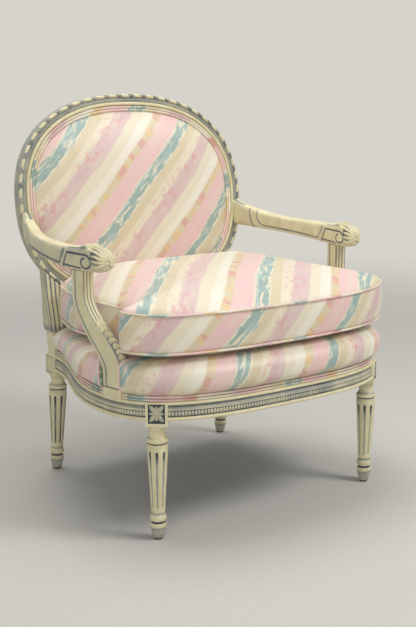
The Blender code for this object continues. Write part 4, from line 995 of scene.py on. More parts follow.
def build_ribbon():
    count = round(OVAL_RUN[-1] / RIBBON_PITCH)
    pitch = OVAL_RUN[-1] / count
    groups = {name: glazed_mesh()[0] for name in BACK_ARCS}
    for k in range(count):
        start = k * pitch
        angle = float(np.interp(start + pitch / 4, OVAL_RUN, OVAL_ANGLES))
        home = next(name for name, (low, high, _) in BACK_ARCS.items()
                    if any(low <= angle + turn < high for turn in (0, -math.tau, math.tau)))
        length = BARREL_SHARE * pitch
        join_shapes(groups[home], barrel(start, length))
        for shift, from_turn, to_turn, thick in STRANDS:
            reach = pitch - length - 2 * shift
            join_shapes(groups[home], strand(start + length + shift, reach, from_turn, to_turn, thick))
    for name, bm in groups.items():
        painted(f"ribbon_{name}", bm, edge=60)
    return count


print("ribbon barrels:", build_ribbon())

# %% [markdown]
# ## Rear legs and uprights
# A rear leg is one timber from foot to medallion. The turned part leans back, which is a shear of the same
# turned shape. Above the block a plain neck grows into a reeded upright that is scribed to the ring: each
# line of the upright runs up until it meets the oval's edge.

# %% Rear legs
REAR_LEG_RAKE = 0.0176
UPRIGHT_PLAIN = 0.033
UPRIGHT_PLAIN_Z = RAIL_TOP + 0.050
UPRIGHT_REEDED = 0.046
UPRIGHT_REEDED_DEPTH = 0.042
UPRIGHT_REEDS = 4
REED_DEPTH = 0.0021
# The rear legs' flutes are darker than the front ones: partly more glaze, partly painted shade, as they stand
# under the seat.
REAR_FLUTE_GLAZE_AND_SHADE = 0.60
REAR_LINE_DEPTH = 0.0006
REAR_LINE_WIDTH = 0.0012
REAR_LINE_GLAZE = 0.75
REAR_PANEL_GLAZE = 0.15


def reeded_square(width, depth, reed, points=9):
    """Offsets (x, y) round a square whose faces carry half-round reeds, with how deep each point lies."""
    ring = []
    for face in range(4):
        long, out = (width, depth) if face % 2 == 0 else (depth, width)
        for k in range(UPRIGHT_REEDS * points):
            t = k / (UPRIGHT_REEDS * points)
            local = (t * UPRIGHT_REEDS) % 1
            sink = reed * (1 - math.sqrt(max(0.0, 1 - (2 * local - 1) ** 2)))
            x, y = (t - 0.5) * (long - reed), -(out / 2 - sink)
            for _ in range(face):
                x, y = -y, x
            ring.append((x, y, sink / reed if reed else 0.0))
    return ring


def scribe_height(x):
    """Height at which a line of the upright meets the oval's lower edge."""
    v = -BACK_HALF_HEIGHT * (1 - abs(x / BACK_HALF_WIDTH) ** BACK_POWER) ** (1 / BACK_POWER)
    return BACK_CENTRE_Z + v * math.cos(BACK_RAKE) - JOINT_GAP


def upright(side):
    """Neck, step and reeded shaft, as sections of one sweep."""
    plain, wide, deep = UPRIGHT_PLAIN, UPRIGHT_REEDED, UPRIGHT_REEDED_DEPTH
    sections, glazes = [], []
    reeds_start = UPRIGHT_PLAIN_Z + 0.012
    plan = [(RAIL_TOP - 0.002, plain, plain, 0.0), (UPRIGHT_PLAIN_Z - 0.006, plain, plain, 0.0),
            (UPRIGHT_PLAIN_Z, plain + 0.002, plain + 0.002, 0.2),
            (UPRIGHT_PLAIN_Z + 0.006, wide - 0.003, deep - 0.002, 0.9), (reeds_start, wide, deep, 1.0)]
    for z, width, depth, reeding in plan:
        ring = reeded_square(width, depth, max(REED_DEPTH * reeding, 1e-5))
        sections.append([Vector((side * REAR_LEG_X + x, back_plane_y(z) + y, z)) for x, y, _ in ring])
        glazes.append([0.9 * reeding * sunk + (0.35 if reeding > 0.5 else 0.0) for _, _, sunk in ring])
    for t in np.linspace(0, 1, 14)[1:]:
        depth = deep + (2 * HALF_FRAME - deep) * ease(t / 0.75)
        ring = reeded_square(wide, depth, REED_DEPTH)
        section = []
        for x, y, _ in ring:
            top = scribe_height(REAR_LEG_X + side * x)
            z = reeds_start + (top - reeds_start) * t
            section.append(Vector((side * REAR_LEG_X + x, back_plane_y(z) + y, z)))
        sections.append(section)
        glazes.append([0.10 + 0.95 * sunk for _, _, sunk in ring])
    return sweep(sections, glazes)


def rear_leg(side):
    name = f"rear_leg_{SIDES[side]}"
    place = Vector((side * REAR_LEG_X, REAR_LEG_Y, 0))
    bm = turn_leg(0.0, REAR_FLUTE_GLAZE_AND_SHADE)
    lean = Matrix.Identity(4)
    lean[1][2] = -REAR_LEG_RAKE / LEG_HEIGHT
    bmesh.ops.transform(bm, verts=bm.verts, matrix=Matrix.Translation((0, REAR_LEG_RAKE, 0)) @ lean)
    bmesh.ops.translate(bm, verts=bm.verts, vec=place)
    block = square_block(place, 0.0, REAR_BLOCK, REAR_BLOCK)
    for outward in (Vector((side, 0, 0)), Vector((0, 1, 0))):
        face = sink_panel(block, outward, PANEL_MARGIN, REAR_LINE_DEPTH, REAR_LINE_GLAZE)
        bmesh.ops.inset_individual(block, faces=[face], thickness=REAR_LINE_WIDTH, depth=REAR_LINE_DEPTH)
        brush(face.verts, block.verts.layers.float["glaze"], REAR_PANEL_GLAZE)
    join_shapes(bm, block)
    join_shapes(bm, upright(side))
    painted(f"turned_{name}", bm, [name])


for side in SIDES:
    rear_leg(side)
print("rear legs and uprights done")

# %% [markdown]
# ## Arm posts
# Each post stands on the rail, sweeps back and stands upright again under the arm. Its section is deep
# below and slim above. The front carries three reeds in the upper half and a carved husk where they die
# out, the sides have one painted groove near the rear edge, and a plain plinth ends it below.

# %% Arm posts
ARM_BOTTOM = RAIL_TOP + 0.246
ARM_TOP = ARM_BOTTOM + 0.038
SCROLL_BOTTOM = ARM_BOTTOM - 0.007
POST_Y = 0.075
POST_SETBACK = 0.0045
POST_WIDTH = 0.028
POST_BASE_DEPTH = 0.0508
POST_TOP_DEPTH = 0.0375
POST_SWEEP = 0.0965
POST_CORNER = 0.0022
POST_REEDS = 3
POST_LINE = (0.0138, 0.0124, 0.0092, 0.0080)
POST_LINE_DEPTH = 0.0009
POST_LINE_GLAZE = 0.62
HUSK_LEAVES = 9
HUSK_TOP_Z = 0.424
HUSK_PITCH = 0.0098
HUSK_MIDDLE_Z, HUSK_REACH = 0.384, 0.036
HUSK_SIDE_LEAF = Vector((0.0185, 0.0092, 0.0036))
HUSK_FRONT_LEAF = Vector((0.0200, 0.0070, 0.0046))
SWEEP_START, SWEEP_SHARE = 0.183, 0.62
TAPER_START, TAPER_SHARE = 0.38, 0.243
POST_BOTTOM = RAIL_TOP + JOINT_GAP
POST_TOP = SCROLL_BOTTOM - JOINT_GAP
POST_HEIGHT = POST_TOP - POST_BOTTOM
PLINTH_TOP = RAIL_TOP + 0.0185
POST_RUN = run_at_y(POST_Y)
POST_FOOT = {side: inset_plan(side * POST_RUN, POST_SETBACK + POST_WIDTH / 2) for side in SIDES}
POST_OUT = {side: plan_at(side * POST_RUN)[1] for side in SIDES}
POST_BACK = {side: Vector((-side * POST_OUT[side].y, side * POST_OUT[side].x, 0)) for side in SIDES}


def post_sweep(z):
    return POST_SWEEP * ease(((z - POST_BOTTOM) / POST_HEIGHT - SWEEP_START) / SWEEP_SHARE)


def post_slant(z):
    step = 0.001
    return (post_sweep(z + step) - post_sweep(z - step)) / (2 * step)


def post_half_depth(z):
    share = (z - POST_BOTTOM) / POST_HEIGHT
    taper = ease((share - TAPER_START) / TAPER_SHARE)
    square = POST_BASE_DEPTH + (POST_TOP_DEPTH - POST_BASE_DEPTH) * taper
    return square / 2 * math.hypot(1, 0.8 * post_slant(z))


def post_point(side, out, back, z):
    place = POST_FOOT[side] + POST_OUT[side] * out + POST_BACK[side] * (post_sweep(z) + back)
    return raised(place, z)


def post_section(z):
    """(out, back, glaze) round a post; the front's reeds rise from nothing above the husk."""
    half, reach = post_half_depth(z), POST_WIDTH / 2
    if z < PLINTH_TOP - 0.001:
        half, reach = half + 0.0008, reach + 0.0006
    quirk = math.exp(-((z - PLINTH_TOP) / 0.0011) ** 2)
    half, reach = half - 0.0010 * quirk, reach - 0.0010 * quirk
    share = (z - POST_BOTTOM) / POST_HEIGHT
    reeding = ease((share - 0.50) / 0.08)
    carved = math.exp(-((z - HUSK_MIDDLE_Z) / HUSK_REACH) ** 4)
    flat = reach - POST_CORNER
    rows = []
    for k in range(8 * POST_REEDS + 1):
        t = k / (8 * POST_REEDS)
        local = (t * POST_REEDS) % 1 if t < 1 else 1.0
        dip = reeding * (1 - math.sqrt(max(0.0, 1 - (2 * local - 1) ** 2)))
        rows.append((-flat + 2 * flat * t, -half + REED_DEPTH * dip, max(0.6 * carved, 0.85 * reeding * dip)))
    line = POST_LINE_GLAZE * (1 - quirk) * (0.0 if z < PLINTH_TOP else 1.0)
    sunk = reach - POST_LINE_DEPTH * ease((z - PLINTH_TOP) / 0.004)
    before, start, end, after = (half - back for back in POST_LINE)
    side_rows = [(reach, -half + POST_CORNER, 0), (reach, -0.45 * half, 0), (reach, 0.1 * half, 0.05),
                 (reach, before, 0.12), (sunk, start, line), (sunk, end, line), (reach, after, 0.1),
                 (reach, half - POST_CORNER, 0)]
    rows += side_rows + [(flat, half, 0), (0, half, 0.1), (-flat, half, 0)]
    rows += [(-out, back, level) for out, back, level in side_rows[::-1]]
    return [(out, back, level + 0.95 * quirk) for out, back, level in rows]


def husk(side):
    """Overlapping leaves down the front of the post, small at the foot."""
    bm = glazed_mesh()[0]
    for k in range(HUSK_LEAVES):
        z = HUSK_TOP_Z - HUSK_PITCH * k
        slant = post_slant(z)
        down = (-UP - POST_BACK[side] * slant).normalized()
        out = (-POST_BACK[side] + UP * slant).normalized()
        size = 1.12 - 0.08 * k
        face = post_point(side, 0, -post_half_depth(z) + 0.0003, z)
        for turn in (-1, 1):
            along = (down + POST_OUT[side] * 0.45 * turn).normalized()
            root = face + POST_OUT[side] * 0.0022 * turn * size
            petal(bm, root, along, out, *(HUSK_SIDE_LEAF * size))
        petal(bm, face, down, out, *(HUSK_FRONT_LEAF * size))
    return bm


def build_post(side):
    heights = list(np.linspace(POST_BOTTOM, PLINTH_TOP - 0.003, 3))
    heights += list(np.linspace(PLINTH_TOP - 0.0018, PLINTH_TOP + 0.0022, 9))
    heights += list(np.linspace(PLINTH_TOP + 0.005, POST_TOP, 54))
    rows = [post_section(z) for z in heights]
    sections = [[post_point(side, out, back, z) for out, back, _ in row] for z, row in zip(heights, rows)]
    bm = sweep(sections, [[level for _, _, level in row] for row in rows])
    name = SIDES[side]
    painted(f"swept_post_{name}", bm, [f"arm_post_{name}"])
    painted(f"post_husk_{name}", husk(side), edge=60)


for side in SIDES:
    build_post(side)
print("posts", round(POST_HEIGHT, 3), "m high")

# %% [markdown]
# ## Arms
# An arm is a rounded bar, bowed in plan, that flares up where it meets the ring and ends in a scroll block
# with a knob. Its top rises to a small lip over the block, and at the ring it sinks to a cove that carries
# the ring's hollow on. Its sides have a sunk panel, drawn by one groove that drops from the top, runs along
# the bottom and rises again. The scroll block has a small panel and a round volute. We sweep dense sections
# and sink every side point by its distance from these lines, as a carver's gouge would.

# %% Arm bars
ARM_WIDTH = 0.030
ARM_SCROLL_WIDTH = 0.040
ARM_TIP_Y = 0.100
ARM_NOSE = 0.025
ARM_FRONT_DROP = 0.006
ARM_ROOT_LIFT = 0.015
FLARE_FRONT_Y = 0.1415
FLARE_RISE = 0.0070
FLARE_RUN = 0.030
FLARE_STEP = 0.0020
ARM_ROOT_RISE = 0.040
ROOT_COVE = 0.0022
ROOT_COVE_PLACE, ROOT_COVE_SPREAD = -0.38, 0.34
ROOT_EDGE_PLACE, ROOT_EDGE_SPREAD = 0.5, 0.12
ARM_ROOT_SLOPE = -0.35
RING_MIDDLE_X = BACK_HALF_WIDTH - BACK_FRAME_WIDTH / 2
ARM_SEAT = post_point(1, 0, 0, POST_TOP)
ARM_SLOPE = POST_BACK[1].x / POST_BACK[1].y
ARM_SCROLL_BACK = ARM_SEAT.y + POST_TOP_DEPTH / 2 + 0.008
ARM_BAR_START = ARM_SCROLL_BACK + 0.012
ARM_ROOT_Y = back_plane_y(ARM_TOP) - HALF_FRAME
VOLUTE_Y, VOLUTE_Z = 0.1395, 0.5388
VOLUTE_REACH_Y, VOLUTE_REACH_Z = 0.0180, 0.0148
VOLUTE_TURNS = 0.95
VOLUTE_SHRINK = 0.42
PANEL_FRONT_Y = ARM_BAR_START + 0.010
PANEL_REAR_Y = ARM_ROOT_Y - 0.069
LIP_REAR_Y = ARM_ROOT_Y - 0.049
ROOT_STEP_Y = ARM_ROOT_Y - 0.028
BAR_POWER = 4.4
BLOCK_POWER = 5.0
KNOB_FORM = ((0, 0.10, 0.38, 0.47), (0.05, 0.46, 0.22, 0.66), (0.17, 0.78, 0.10, 0.80),
             (0.36, 0.93, 0.04, 0.91), (0.6, 0.98, 0.01, 0.98), (1, 1, 0, 1.02))
ROOT_FORM = ((0.06, 0), (0.25, 0.03), (0.5, 0.11), (0.72, 0.34), (0.88, 0.63), (1.0, 1.0))
GROOVE_CUTS = {
    "panel": (0.0022, 0.0013, 0.60),
    "lip": (0.0025, 0.0013, 0.62),
    "riser": (0.0042, 0.0014, 0.62),
    # The flare line under the lip holds glaze that is partly real and partly painted shade under the lip's
    # overhang.
    "flare": (0.0026, 0.0010, 0.48),
    "volute": (0.0017, 0.0020, 1.0),
    "block": (0.0016, 0.0018, 1.0),
}


def arm_middle(y):
    """The arm's middle line in plan."""
    length = ARM_ROOT_Y - ARM_SEAT.y
    t = (y - ARM_SEAT.y) / length
    if t < 0:
        return ARM_SEAT.x + ARM_SLOPE * (y - ARM_SEAT.y)
    start = ARM_SEAT.x * (1 + 2 * t) * (1 - t) ** 2 + ARM_SLOPE * length * t * (1 - t) ** 2
    end = RING_MIDDLE_X * t ** 2 * (3 - 2 * t) - ARM_ROOT_SLOPE * length * t ** 2 * (1 - t)
    return start + end


def arm_knots():
    """(y, half width, low, high, squareness) at a few places along the arm."""
    wide, slim, height = ARM_SCROLL_WIDTH / 2, ARM_WIDTH / 2, ARM_TOP - SCROLL_BOTTOM
    rows = []
    for share, width, low, high in KNOB_FORM:
        rows.append((ARM_TIP_Y + share * ARM_NOSE, wide * width, SCROLL_BOTTOM + low * height,
                     SCROLL_BOTTOM + high * height, 2.6 + 1.6 * share))
    rows.append((ARM_SEAT.y, wide, SCROLL_BOTTOM, SCROLL_BOTTOM + 1.03 * height, BLOCK_POWER))
    rows.append((ARM_SCROLL_BACK - 0.002, 0.98 * wide, SCROLL_BOTTOM + 0.0005, SCROLL_BOTTOM + 1.01 * height,
                 BLOCK_POWER))
    rows.append((ARM_BAR_START, 0.95 * wide, ARM_BOTTOM - ARM_FRONT_DROP, ARM_TOP, BAR_POWER))
    for share, rise in ROOT_FORM:
        half = slim + (0.47 * BACK_FRAME_WIDTH - slim) * ease((share - 0.8) / 0.2)
        half += (0.94 * wide - slim) * ease((0.5 - share) / 0.5)
        rows.append((ARM_BAR_START + (ARM_ROOT_Y - ARM_BAR_START) * share, half,
                     ARM_BOTTOM - ARM_FRONT_DROP + (ARM_FRONT_DROP + ARM_ROOT_LIFT) * share,
                     ARM_TOP + rise * ARM_ROOT_RISE, BAR_POWER))
    return np.array(rows)


ARM_KNOTS = arm_knots()


def arm_at(y):
    """(half width, low, high, squareness) anywhere along the arm, with the lip over the block."""
    half, low, high, power = (float(through(ARM_KNOTS[:, 0], ARM_KNOTS[:, k], y)) for k in range(1, 5))
    flare = ease((y - FLARE_FRONT_Y + FLARE_STEP) / FLARE_STEP)
    flare *= ease((FLARE_FRONT_Y + FLARE_RUN - y) / FLARE_RUN)
    return half, low, high + FLARE_RISE * flare, power


def arm_ring(y, points=168):
    """Offsets (dx, z) round the arm at even steps, from the bottom centre."""
    half, low, high, power = arm_at(y)
    tall = (high - low) / 2
    turns = np.linspace(-math.pi / 2, 1.5 * math.pi, 721)
    dense = np.array([superellipse(turn, half, tall, power) for turn in turns])
    run = running_length(dense)
    at = np.linspace(0, run[-1], points, endpoint=False)
    dx, dz = (np.interp(at, run, dense[:, k]) for k in (0, 1))
    return np.stack((dx, low + tall + dz), 1)


def bent(corner, radius, way):
    """A quarter turn of a groove round a corner's centre; way is its direction along the arm."""
    y, z = corner
    turns = np.linspace(0, math.pi / 2, 7)
    return [(y + way * radius * math.sin(turn), z - radius * math.cos(turn)) for turn in turns]


def on_bar(path):
    """A line drawn on a level bar, moved to the bar's own falling underside."""
    return [(y, z + arm_at(y)[1] - ARM_BOTTOM) for y, z in path]


def groove_paths():
    """Lines cut in the arm's sides, as runs of (y, z) points."""
    low, high = ARM_BOTTOM + 0.0085, ARM_TOP + 0.03
    rear, front = 0.024, 0.007
    panel = [(PANEL_REAR_Y + 0.004, high)]
    panel += bent((PANEL_REAR_Y - rear, low + rear), rear, 1)[::-1]
    panel += bent((PANEL_FRONT_Y + front, low + front), front, -1)
    panel += [(PANEL_FRONT_Y - 0.013, high - 0.03)]
    lip = [(LIP_REAR_Y + 0.004, high), (LIP_REAR_Y + 0.001, ARM_BOTTOM + 0.030),
           (LIP_REAR_Y - 0.004, ARM_BOTTOM + 0.014), (LIP_REAR_Y - 0.013, ARM_BOTTOM - 0.004)]
    riser = [(PANEL_FRONT_Y - 0.005, ARM_BOTTOM + 0.022), (PANEL_FRONT_Y - 0.012, ARM_TOP - 0.002)]
    # This line under the lip carries real glaze and also painted shade from the lip's overhang.
    flare = [(ARM_SCROLL_BACK - 0.006, ARM_TOP - 0.0005), (FLARE_FRONT_Y, ARM_TOP + 0.0022)]
    rear_y, top_z, low_z = ARM_SCROLL_BACK - 0.001, VOLUTE_Z + VOLUTE_REACH_Z, VOLUTE_Z - 0.0125
    volute = [(rear_y + 0.017, SCROLL_BOTTOM - 0.003), (rear_y - 0.003, top_z + 0.001)]
    for t in np.linspace(0, 1, 60):
        turn, size = math.tau * VOLUTE_TURNS * t, 1 - VOLUTE_SHRINK * t
        volute.append((VOLUTE_Y - VOLUTE_REACH_Y * size * math.sin(turn),
                       VOLUTE_Z + VOLUTE_REACH_Z * size * math.cos(turn)))
    block = [(rear_y + 0.010, low_z + 0.003), (VOLUTE_Y + 0.015, low_z)]
    return {"panel": on_bar(panel), "lip": on_bar(lip), "riser": on_bar(riser), "flare": flare,
            "volute": volute, "block": block}


GROOVES = [(np.array(path), *GROOVE_CUTS[name]) for name, path in groove_paths().items()]


def groove_cut(y, z):
    """Depth and glaze of the grooves at points of one section's side."""
    depth, glaze = np.zeros(len(z)), np.zeros(len(z))
    for path, width, deepest, level in GROOVES:
        start, step = path[:-1], np.diff(path, axis=0)
        spot = np.stack((np.full(len(z), y), z), 1)[:, None] - start
        t = np.clip((spot * step).sum(2) / (step ** 2).sum(1), 0, 1)
        away = np.linalg.norm(spot - step * t[..., None], axis=2).min(1)
        share = np.exp(-(away / width) ** 2)
        depth, glaze = np.maximum(depth, deepest * share), np.maximum(glaze, level * share)
    return depth, glaze


def build_arm_bar(side):
    stations = np.concatenate((ARM_TIP_Y + ARM_NOSE * np.linspace(0, 1, 18) ** 1.8,
                               np.linspace(ARM_TIP_Y + ARM_NOSE + 0.001, ARM_BAR_START, 76),
                               np.linspace(ARM_BAR_START + 0.0016, ARM_ROOT_Y, 130)))
    sections, glazes = [], []
    for y in stations:
        half, low, high, _ = arm_at(y)
        dx, z = arm_ring(y).T
        depth, level = groove_cut(y, z)
        flank = (abs(dx) > 0.72 * half) & (z > low + 0.0015) & (y > ARM_TIP_Y + 0.8 * ARM_NOSE)
        dx = dx - np.sign(dx) * depth * flank
        level = level * flank + 0.20 * ((dx * side > 0) & flank)
        if y < ARM_TIP_Y + ARM_NOSE:
            level = 0.20 + 0.65 * np.clip((z - low) / (high - low) * 2 - 0.35, 0, 1)
        if y > ROOT_STEP_Y:
            upper = ease((y - ROOT_STEP_Y) / 0.003) * (z > high - 0.004)
            place = side * dx / half
            cove = upper * np.exp(-((place - ROOT_COVE_PLACE) / ROOT_COVE_SPREAD) ** 2)
            edge = upper * np.exp(-((place - ROOT_EDGE_PLACE) / ROOT_EDGE_SPREAD) ** 2)
            level = np.maximum(level, 0.75 * cove + 0.6 * edge)
            z = z - ROOT_COVE * cove
        lean = (z - ARM_TOP) * math.tan(BACK_RAKE) * ease((y - (ARM_ROOT_Y - 0.05)) / 0.05)
        sections.append([Vector((side * arm_middle(y) + a, y + b, c)) for a, b, c in zip(dx, lean, z)])
        glazes.append(level.tolist())
    name = SIDES[side]
    painted(f"scrolled_arm_{name}", sweep(sections, glazes), [f"arm_{name}"])


for side in SIDES:
    build_arm_bar(side)
print("arms reach from", round(ARM_TIP_Y, 3), "to", round(ARM_ROOT_Y, 3))

# %% [markdown]
# A leaf lies along the top of each scroll block, from the flared lip, and folds over the knob to its tip.
# It is a fan of lobes. Each lobe follows the arm's own section at a fixed turn from the top, so the fan
# closes as the knob narrows.

# %% Acanthus leaves
LOBE_TURNS = (-112, -86, -62, -40, -20, 0, 20, 40, 62, 86, 112)
SIDE_LOBE_TURN = 60
SIDE_LOBE_BACK_Y = 0.1195
LOBE_TIP_Y = ARM_TIP_Y + 0.0003
LOBE_WIDTH, LOBE_HEIGHT = 0.0033, 0.0032
BUD_RADIUS = 0.0050
BUD_Z = sum(arm_at(ARM_TIP_Y)[1:3]) / 2
LOBE_GLAZE = [max(0.0, 0.75 - 0.85 * s) for _, s in circle(8)]


def on_arm(side, y, turn, lift):
    """A point over the arm's surface, turned from the top."""
    half, low, high, power = arm_at(y)
    tall = (high - low) / 2
    dx, dz = superellipse(math.pi / 2 - turn, half + lift, tall + lift, min(power, 3.0))
    return Vector((side * arm_middle(y) + dx, y, low + tall + dz))


def lobe_back(k):
    """Where a lobe starts: at the lip, by turns a little nearer, and well before it at the sides."""
    if abs(LOBE_TURNS[k]) > SIDE_LOBE_TURN:
        return SIDE_LOBE_BACK_Y
    return FLARE_FRONT_Y - 0.002 - 0.010 * abs(math.radians(LOBE_TURNS[k])) - (0.004 if k % 2 else 0.0)


def lobe(side, turn, back):
    sections = []
    for t in np.linspace(0, 1, 19):
        y = LOBE_TIP_Y + (back - LOBE_TIP_Y) * (1 - t) ** 1.9
        full = math.sin(math.pi * (0.06 + 0.74 * t)) ** 0.55
        spread = LOBE_WIDTH * full / max(0.009, arm_at(y)[0])
        nose = math.exp(-(y - ARM_TIP_Y) / 0.003)
        section = []
        for c, s in circle(8):
            lift = LOBE_HEIGHT * full * (0.25 + s)
            point = on_arm(side, y, turn + spread * c, lift)
            section.append(point - Vector((0, lift * nose, 0)))
        sections.append(section)
    return sweep(sections, LOBE_GLAZE)


def carve_leaves():
    for side, name in SIDES.items():
        bm = glazed_mesh()[0]
        for k, degrees in enumerate(LOBE_TURNS):
            join_shapes(bm, lobe(side, math.radians(degrees), lobe_back(k)))
        bud = Matrix.Translation((side * arm_middle(ARM_TIP_Y), ARM_TIP_Y + 0.0006, BUD_Z))
        bmesh.ops.create_uvsphere(bm, u_segments=20, v_segments=12, radius=BUD_RADIUS,
                                  matrix=bud @ Matrix.Diagonal((1.0, 0.62, 1.0, 1.0)))
        painted(f"arm_leaf_{name}", bm, edge=60)


carve_leaves()
print("leaf lobes:", len(LOBE_TURNS), "on each arm")

# %% [markdown]
# ## The cover
# Seat and back wear one satin, printed with broad brushed stripes on the slant: pink, sand, ivory and
# lilac, with dry strokes of sea green and dabs of rose and apricot. The run of stripes here is our own.
# Every soft piece carries a UV map called `cloth`, in metres: its first number runs across the stripes and
# its second along them, so the print follows the cut of each panel, as it does when a cover is sewn.

# %% Striped satin
STRIPE_REPEAT = 0.21
STRIPE_SOFT = 0.014
WELT_STRETCH = 0.6
IVORY = colour(230, 220, 194)
WHITE = colour(238, 231, 214)
PINK = colour(233, 194, 191)
SAND = colour(217, 201, 166)
LILAC = colour(216, 188, 185)
SEA = colour(146, 172, 166)
SEA_PALE = colour(178, 200, 198)
ROSE = colour(219, 150, 150)
APRICOT = colour(234, 196, 138)
STRIPES = [(0.0, IVORY), (0.15, PINK), (0.34, SAND), (0.43, WHITE), (0.53, IVORY), (0.64, LILAC),
           (0.80, IVORY), (0.90, SAND)]


def stripe_ramp(tree, phase):
    """One repeat of the stripes as a colour ramp with short soft edges."""
    ramp = node(tree, "ShaderNodeValToRGB", None, Fac=phase)
    bar = ramp.color_ramp
    bar.elements.remove(bar.elements[-1])
    for k, (start, shade) in enumerate(STRIPES):
        end = STRIPES[k + 1][0] if k + 1 < len(STRIPES) else 1.0
        for place in (start + STRIPE_SOFT, end - STRIPE_SOFT):
            stop = bar.elements.new(place) if k or place > 0.05 else bar.elements[0]
            stop.position = place
            stop.color = shade
    return ramp.outputs["Color"]


def band(tree, value, low, high, soft):
    """1 between two levels, with soft ends."""
    rise = stepped(tree, value, low - soft, low + soft)
    fall = stepped(tree, value, high - soft, high + soft)
    return sums(tree, "MULTIPLY", rise, sums(tree, "SUBTRACT", 1.0, fall))


def striped_satin(name, weave, reach=1.0):
    material, tree, shader = new_material(name)
    cloth = node(tree, "ShaderNodeUVMap", {"uv_map": "cloth"}).outputs[0]
    parts = node(tree, "ShaderNodeSeparateXYZ", None, i0=cloth).outputs
    across, along = sums(tree, "MULTIPLY", parts[0], reach), parts[1]

    def stretched(wide, long, layer, detail=3.0):
        place = node(tree, "ShaderNodeCombineXYZ", None, i0=sums(tree, "MULTIPLY", across, wide),
                     i1=sums(tree, "MULTIPLY", along, long), i2=layer).outputs[0]
        return noise(tree, place, 1.0, detail, 0.62)

    wander, bristle = stretched(14, 6, 0.0), stretched(110, 20, 4.0, 6.0)
    dab, shade = stretched(95, 55, 9.0, 5.0), stretched(46, 10, 13.0, 4.0)
    cluster = stretched(22, 14, 29.0)
    place = sums(tree, "MULTIPLY_ADD", sums(tree, "SUBTRACT", wander, 0.5), 0.022, across)
    ragged = sums(tree, "MULTIPLY_ADD", sums(tree, "SUBTRACT", bristle, 0.5), 0.045, place)
    phase = sums(tree, "FRACT", sums(tree, "DIVIDE", place, STRIPE_REPEAT))
    torn = sums(tree, "FRACT", sums(tree, "DIVIDE", ragged, STRIPE_REPEAT))
    print_colour = stripe_ramp(tree, phase)
    faded = sums(tree, "MULTIPLY", stepped(tree, shade, 0.35, 0.72), 0.42)
    print_colour = blended(tree, faded, print_colour, IVORY)
    rose = sums(tree, "MULTIPLY", band(tree, torn, 0.70, 0.88, 0.04), stepped(tree, dab, 0.44, 0.62))
    rose = sums(tree, "MULTIPLY", rose, stepped(tree, cluster, 0.40, 0.62))
    print_colour = blended(tree, sums(tree, "MULTIPLY", rose, 0.70), print_colour, ROSE)
    blocks = stretched(8, 48, 21.0, 1.0)
    warm = sums(tree, "MULTIPLY", band(tree, phase, 0.345, 0.425, 0.008), stepped(tree, blocks, 0.46, 0.53))
    warmth = blended(tree, stepped(tree, stretched(6, 36, 33.0, 2.0), 0.46, 0.56), APRICOT, ROSE)
    print_colour = blended(tree, sums(tree, "MULTIPLY", warm, 0.62), print_colour, warmth)
    stroke = sums(tree, "MULTIPLY", band(tree, torn, 0.02, 0.135, 0.010), stepped(tree, bristle, 0.41, 0.47))
    sea = blended(tree, stepped(tree, shade, 0.48, 0.66), SEA, SEA_PALE)
    print_colour = blended(tree, sums(tree, "MULTIPLY", stroke, 0.92), print_colour, sea)
    tree.links.new(print_colour, shader.inputs["Base Color"])
    threads = sums(tree, "MULTIPLY", sums(tree, "SINE", sums(tree, "MULTIPLY", across, math.tau / weave)),
                   sums(tree, "SINE", sums(tree, "MULTIPLY", along, math.tau / weave)))
    slubs = stretched(900, 90, 17.0, 2.0)
    bumped(tree, shader, sums(tree, "MULTIPLY_ADD", threads, 0.35, slubs), 0.22, 0.0005)
    tree.links.new(sums(tree, "MULTIPLY_ADD", slubs, 0.14, 0.30), shader.inputs["Roughness"])
    shader.inputs["Sheen Weight"].default_value = 0.15
    shader.inputs["Sheen Roughness"].default_value = 0.35
    shader.inputs["Specular IOR Level"].default_value = 0.5
    return material


SATIN = striped_satin("striped_satin", 0.0011)
WELTING = striped_satin("welting", 0.0008, WELT_STRETCH)
print("satin printed, repeat", STRIPE_REPEAT, "m")

# %% [markdown]
# A panel is cut on the slant: we turn its flat coordinates by the angle that the stripes make with its
# lower edge.

# %% Laying the print on a piece
def slanted(p, q, angle):
    """Flat coordinates to (across, along) for stripes that rise at an angle."""
    c, s = math.cos(math.radians(angle)), math.sin(math.radians(angle))
    return q * c - p * s, p * c + q * s


def lay_cloth(bm, chart):
    """Give every corner of every face its place on the cloth; chart takes a point and its face."""
    layer = bm.loops.layers.uv.get("cloth") or bm.loops.layers.uv.new("cloth")
    for face in bm.faces:
        for loop in face.loops:
            loop[layer].uv = chart(loop.vert.co, face)


def cord_loop(places, outs, ups, radius, points=10):
    """Sections of a round cord: centres with two square directions at each."""
    return [[place + out * (radius * c) + up * (radius * s) for c, s in circle(points)]
            for place, out, up in zip(places, outs, ups)]


print("cloth helpers ready")

# %% [markdown]
# ## Back upholstery
# The inside back is a crowned pad in the medallion's opening. A double welt covers the tacks between pad
# and frame. Behind, a flatter panel closes the back, with a single welt.

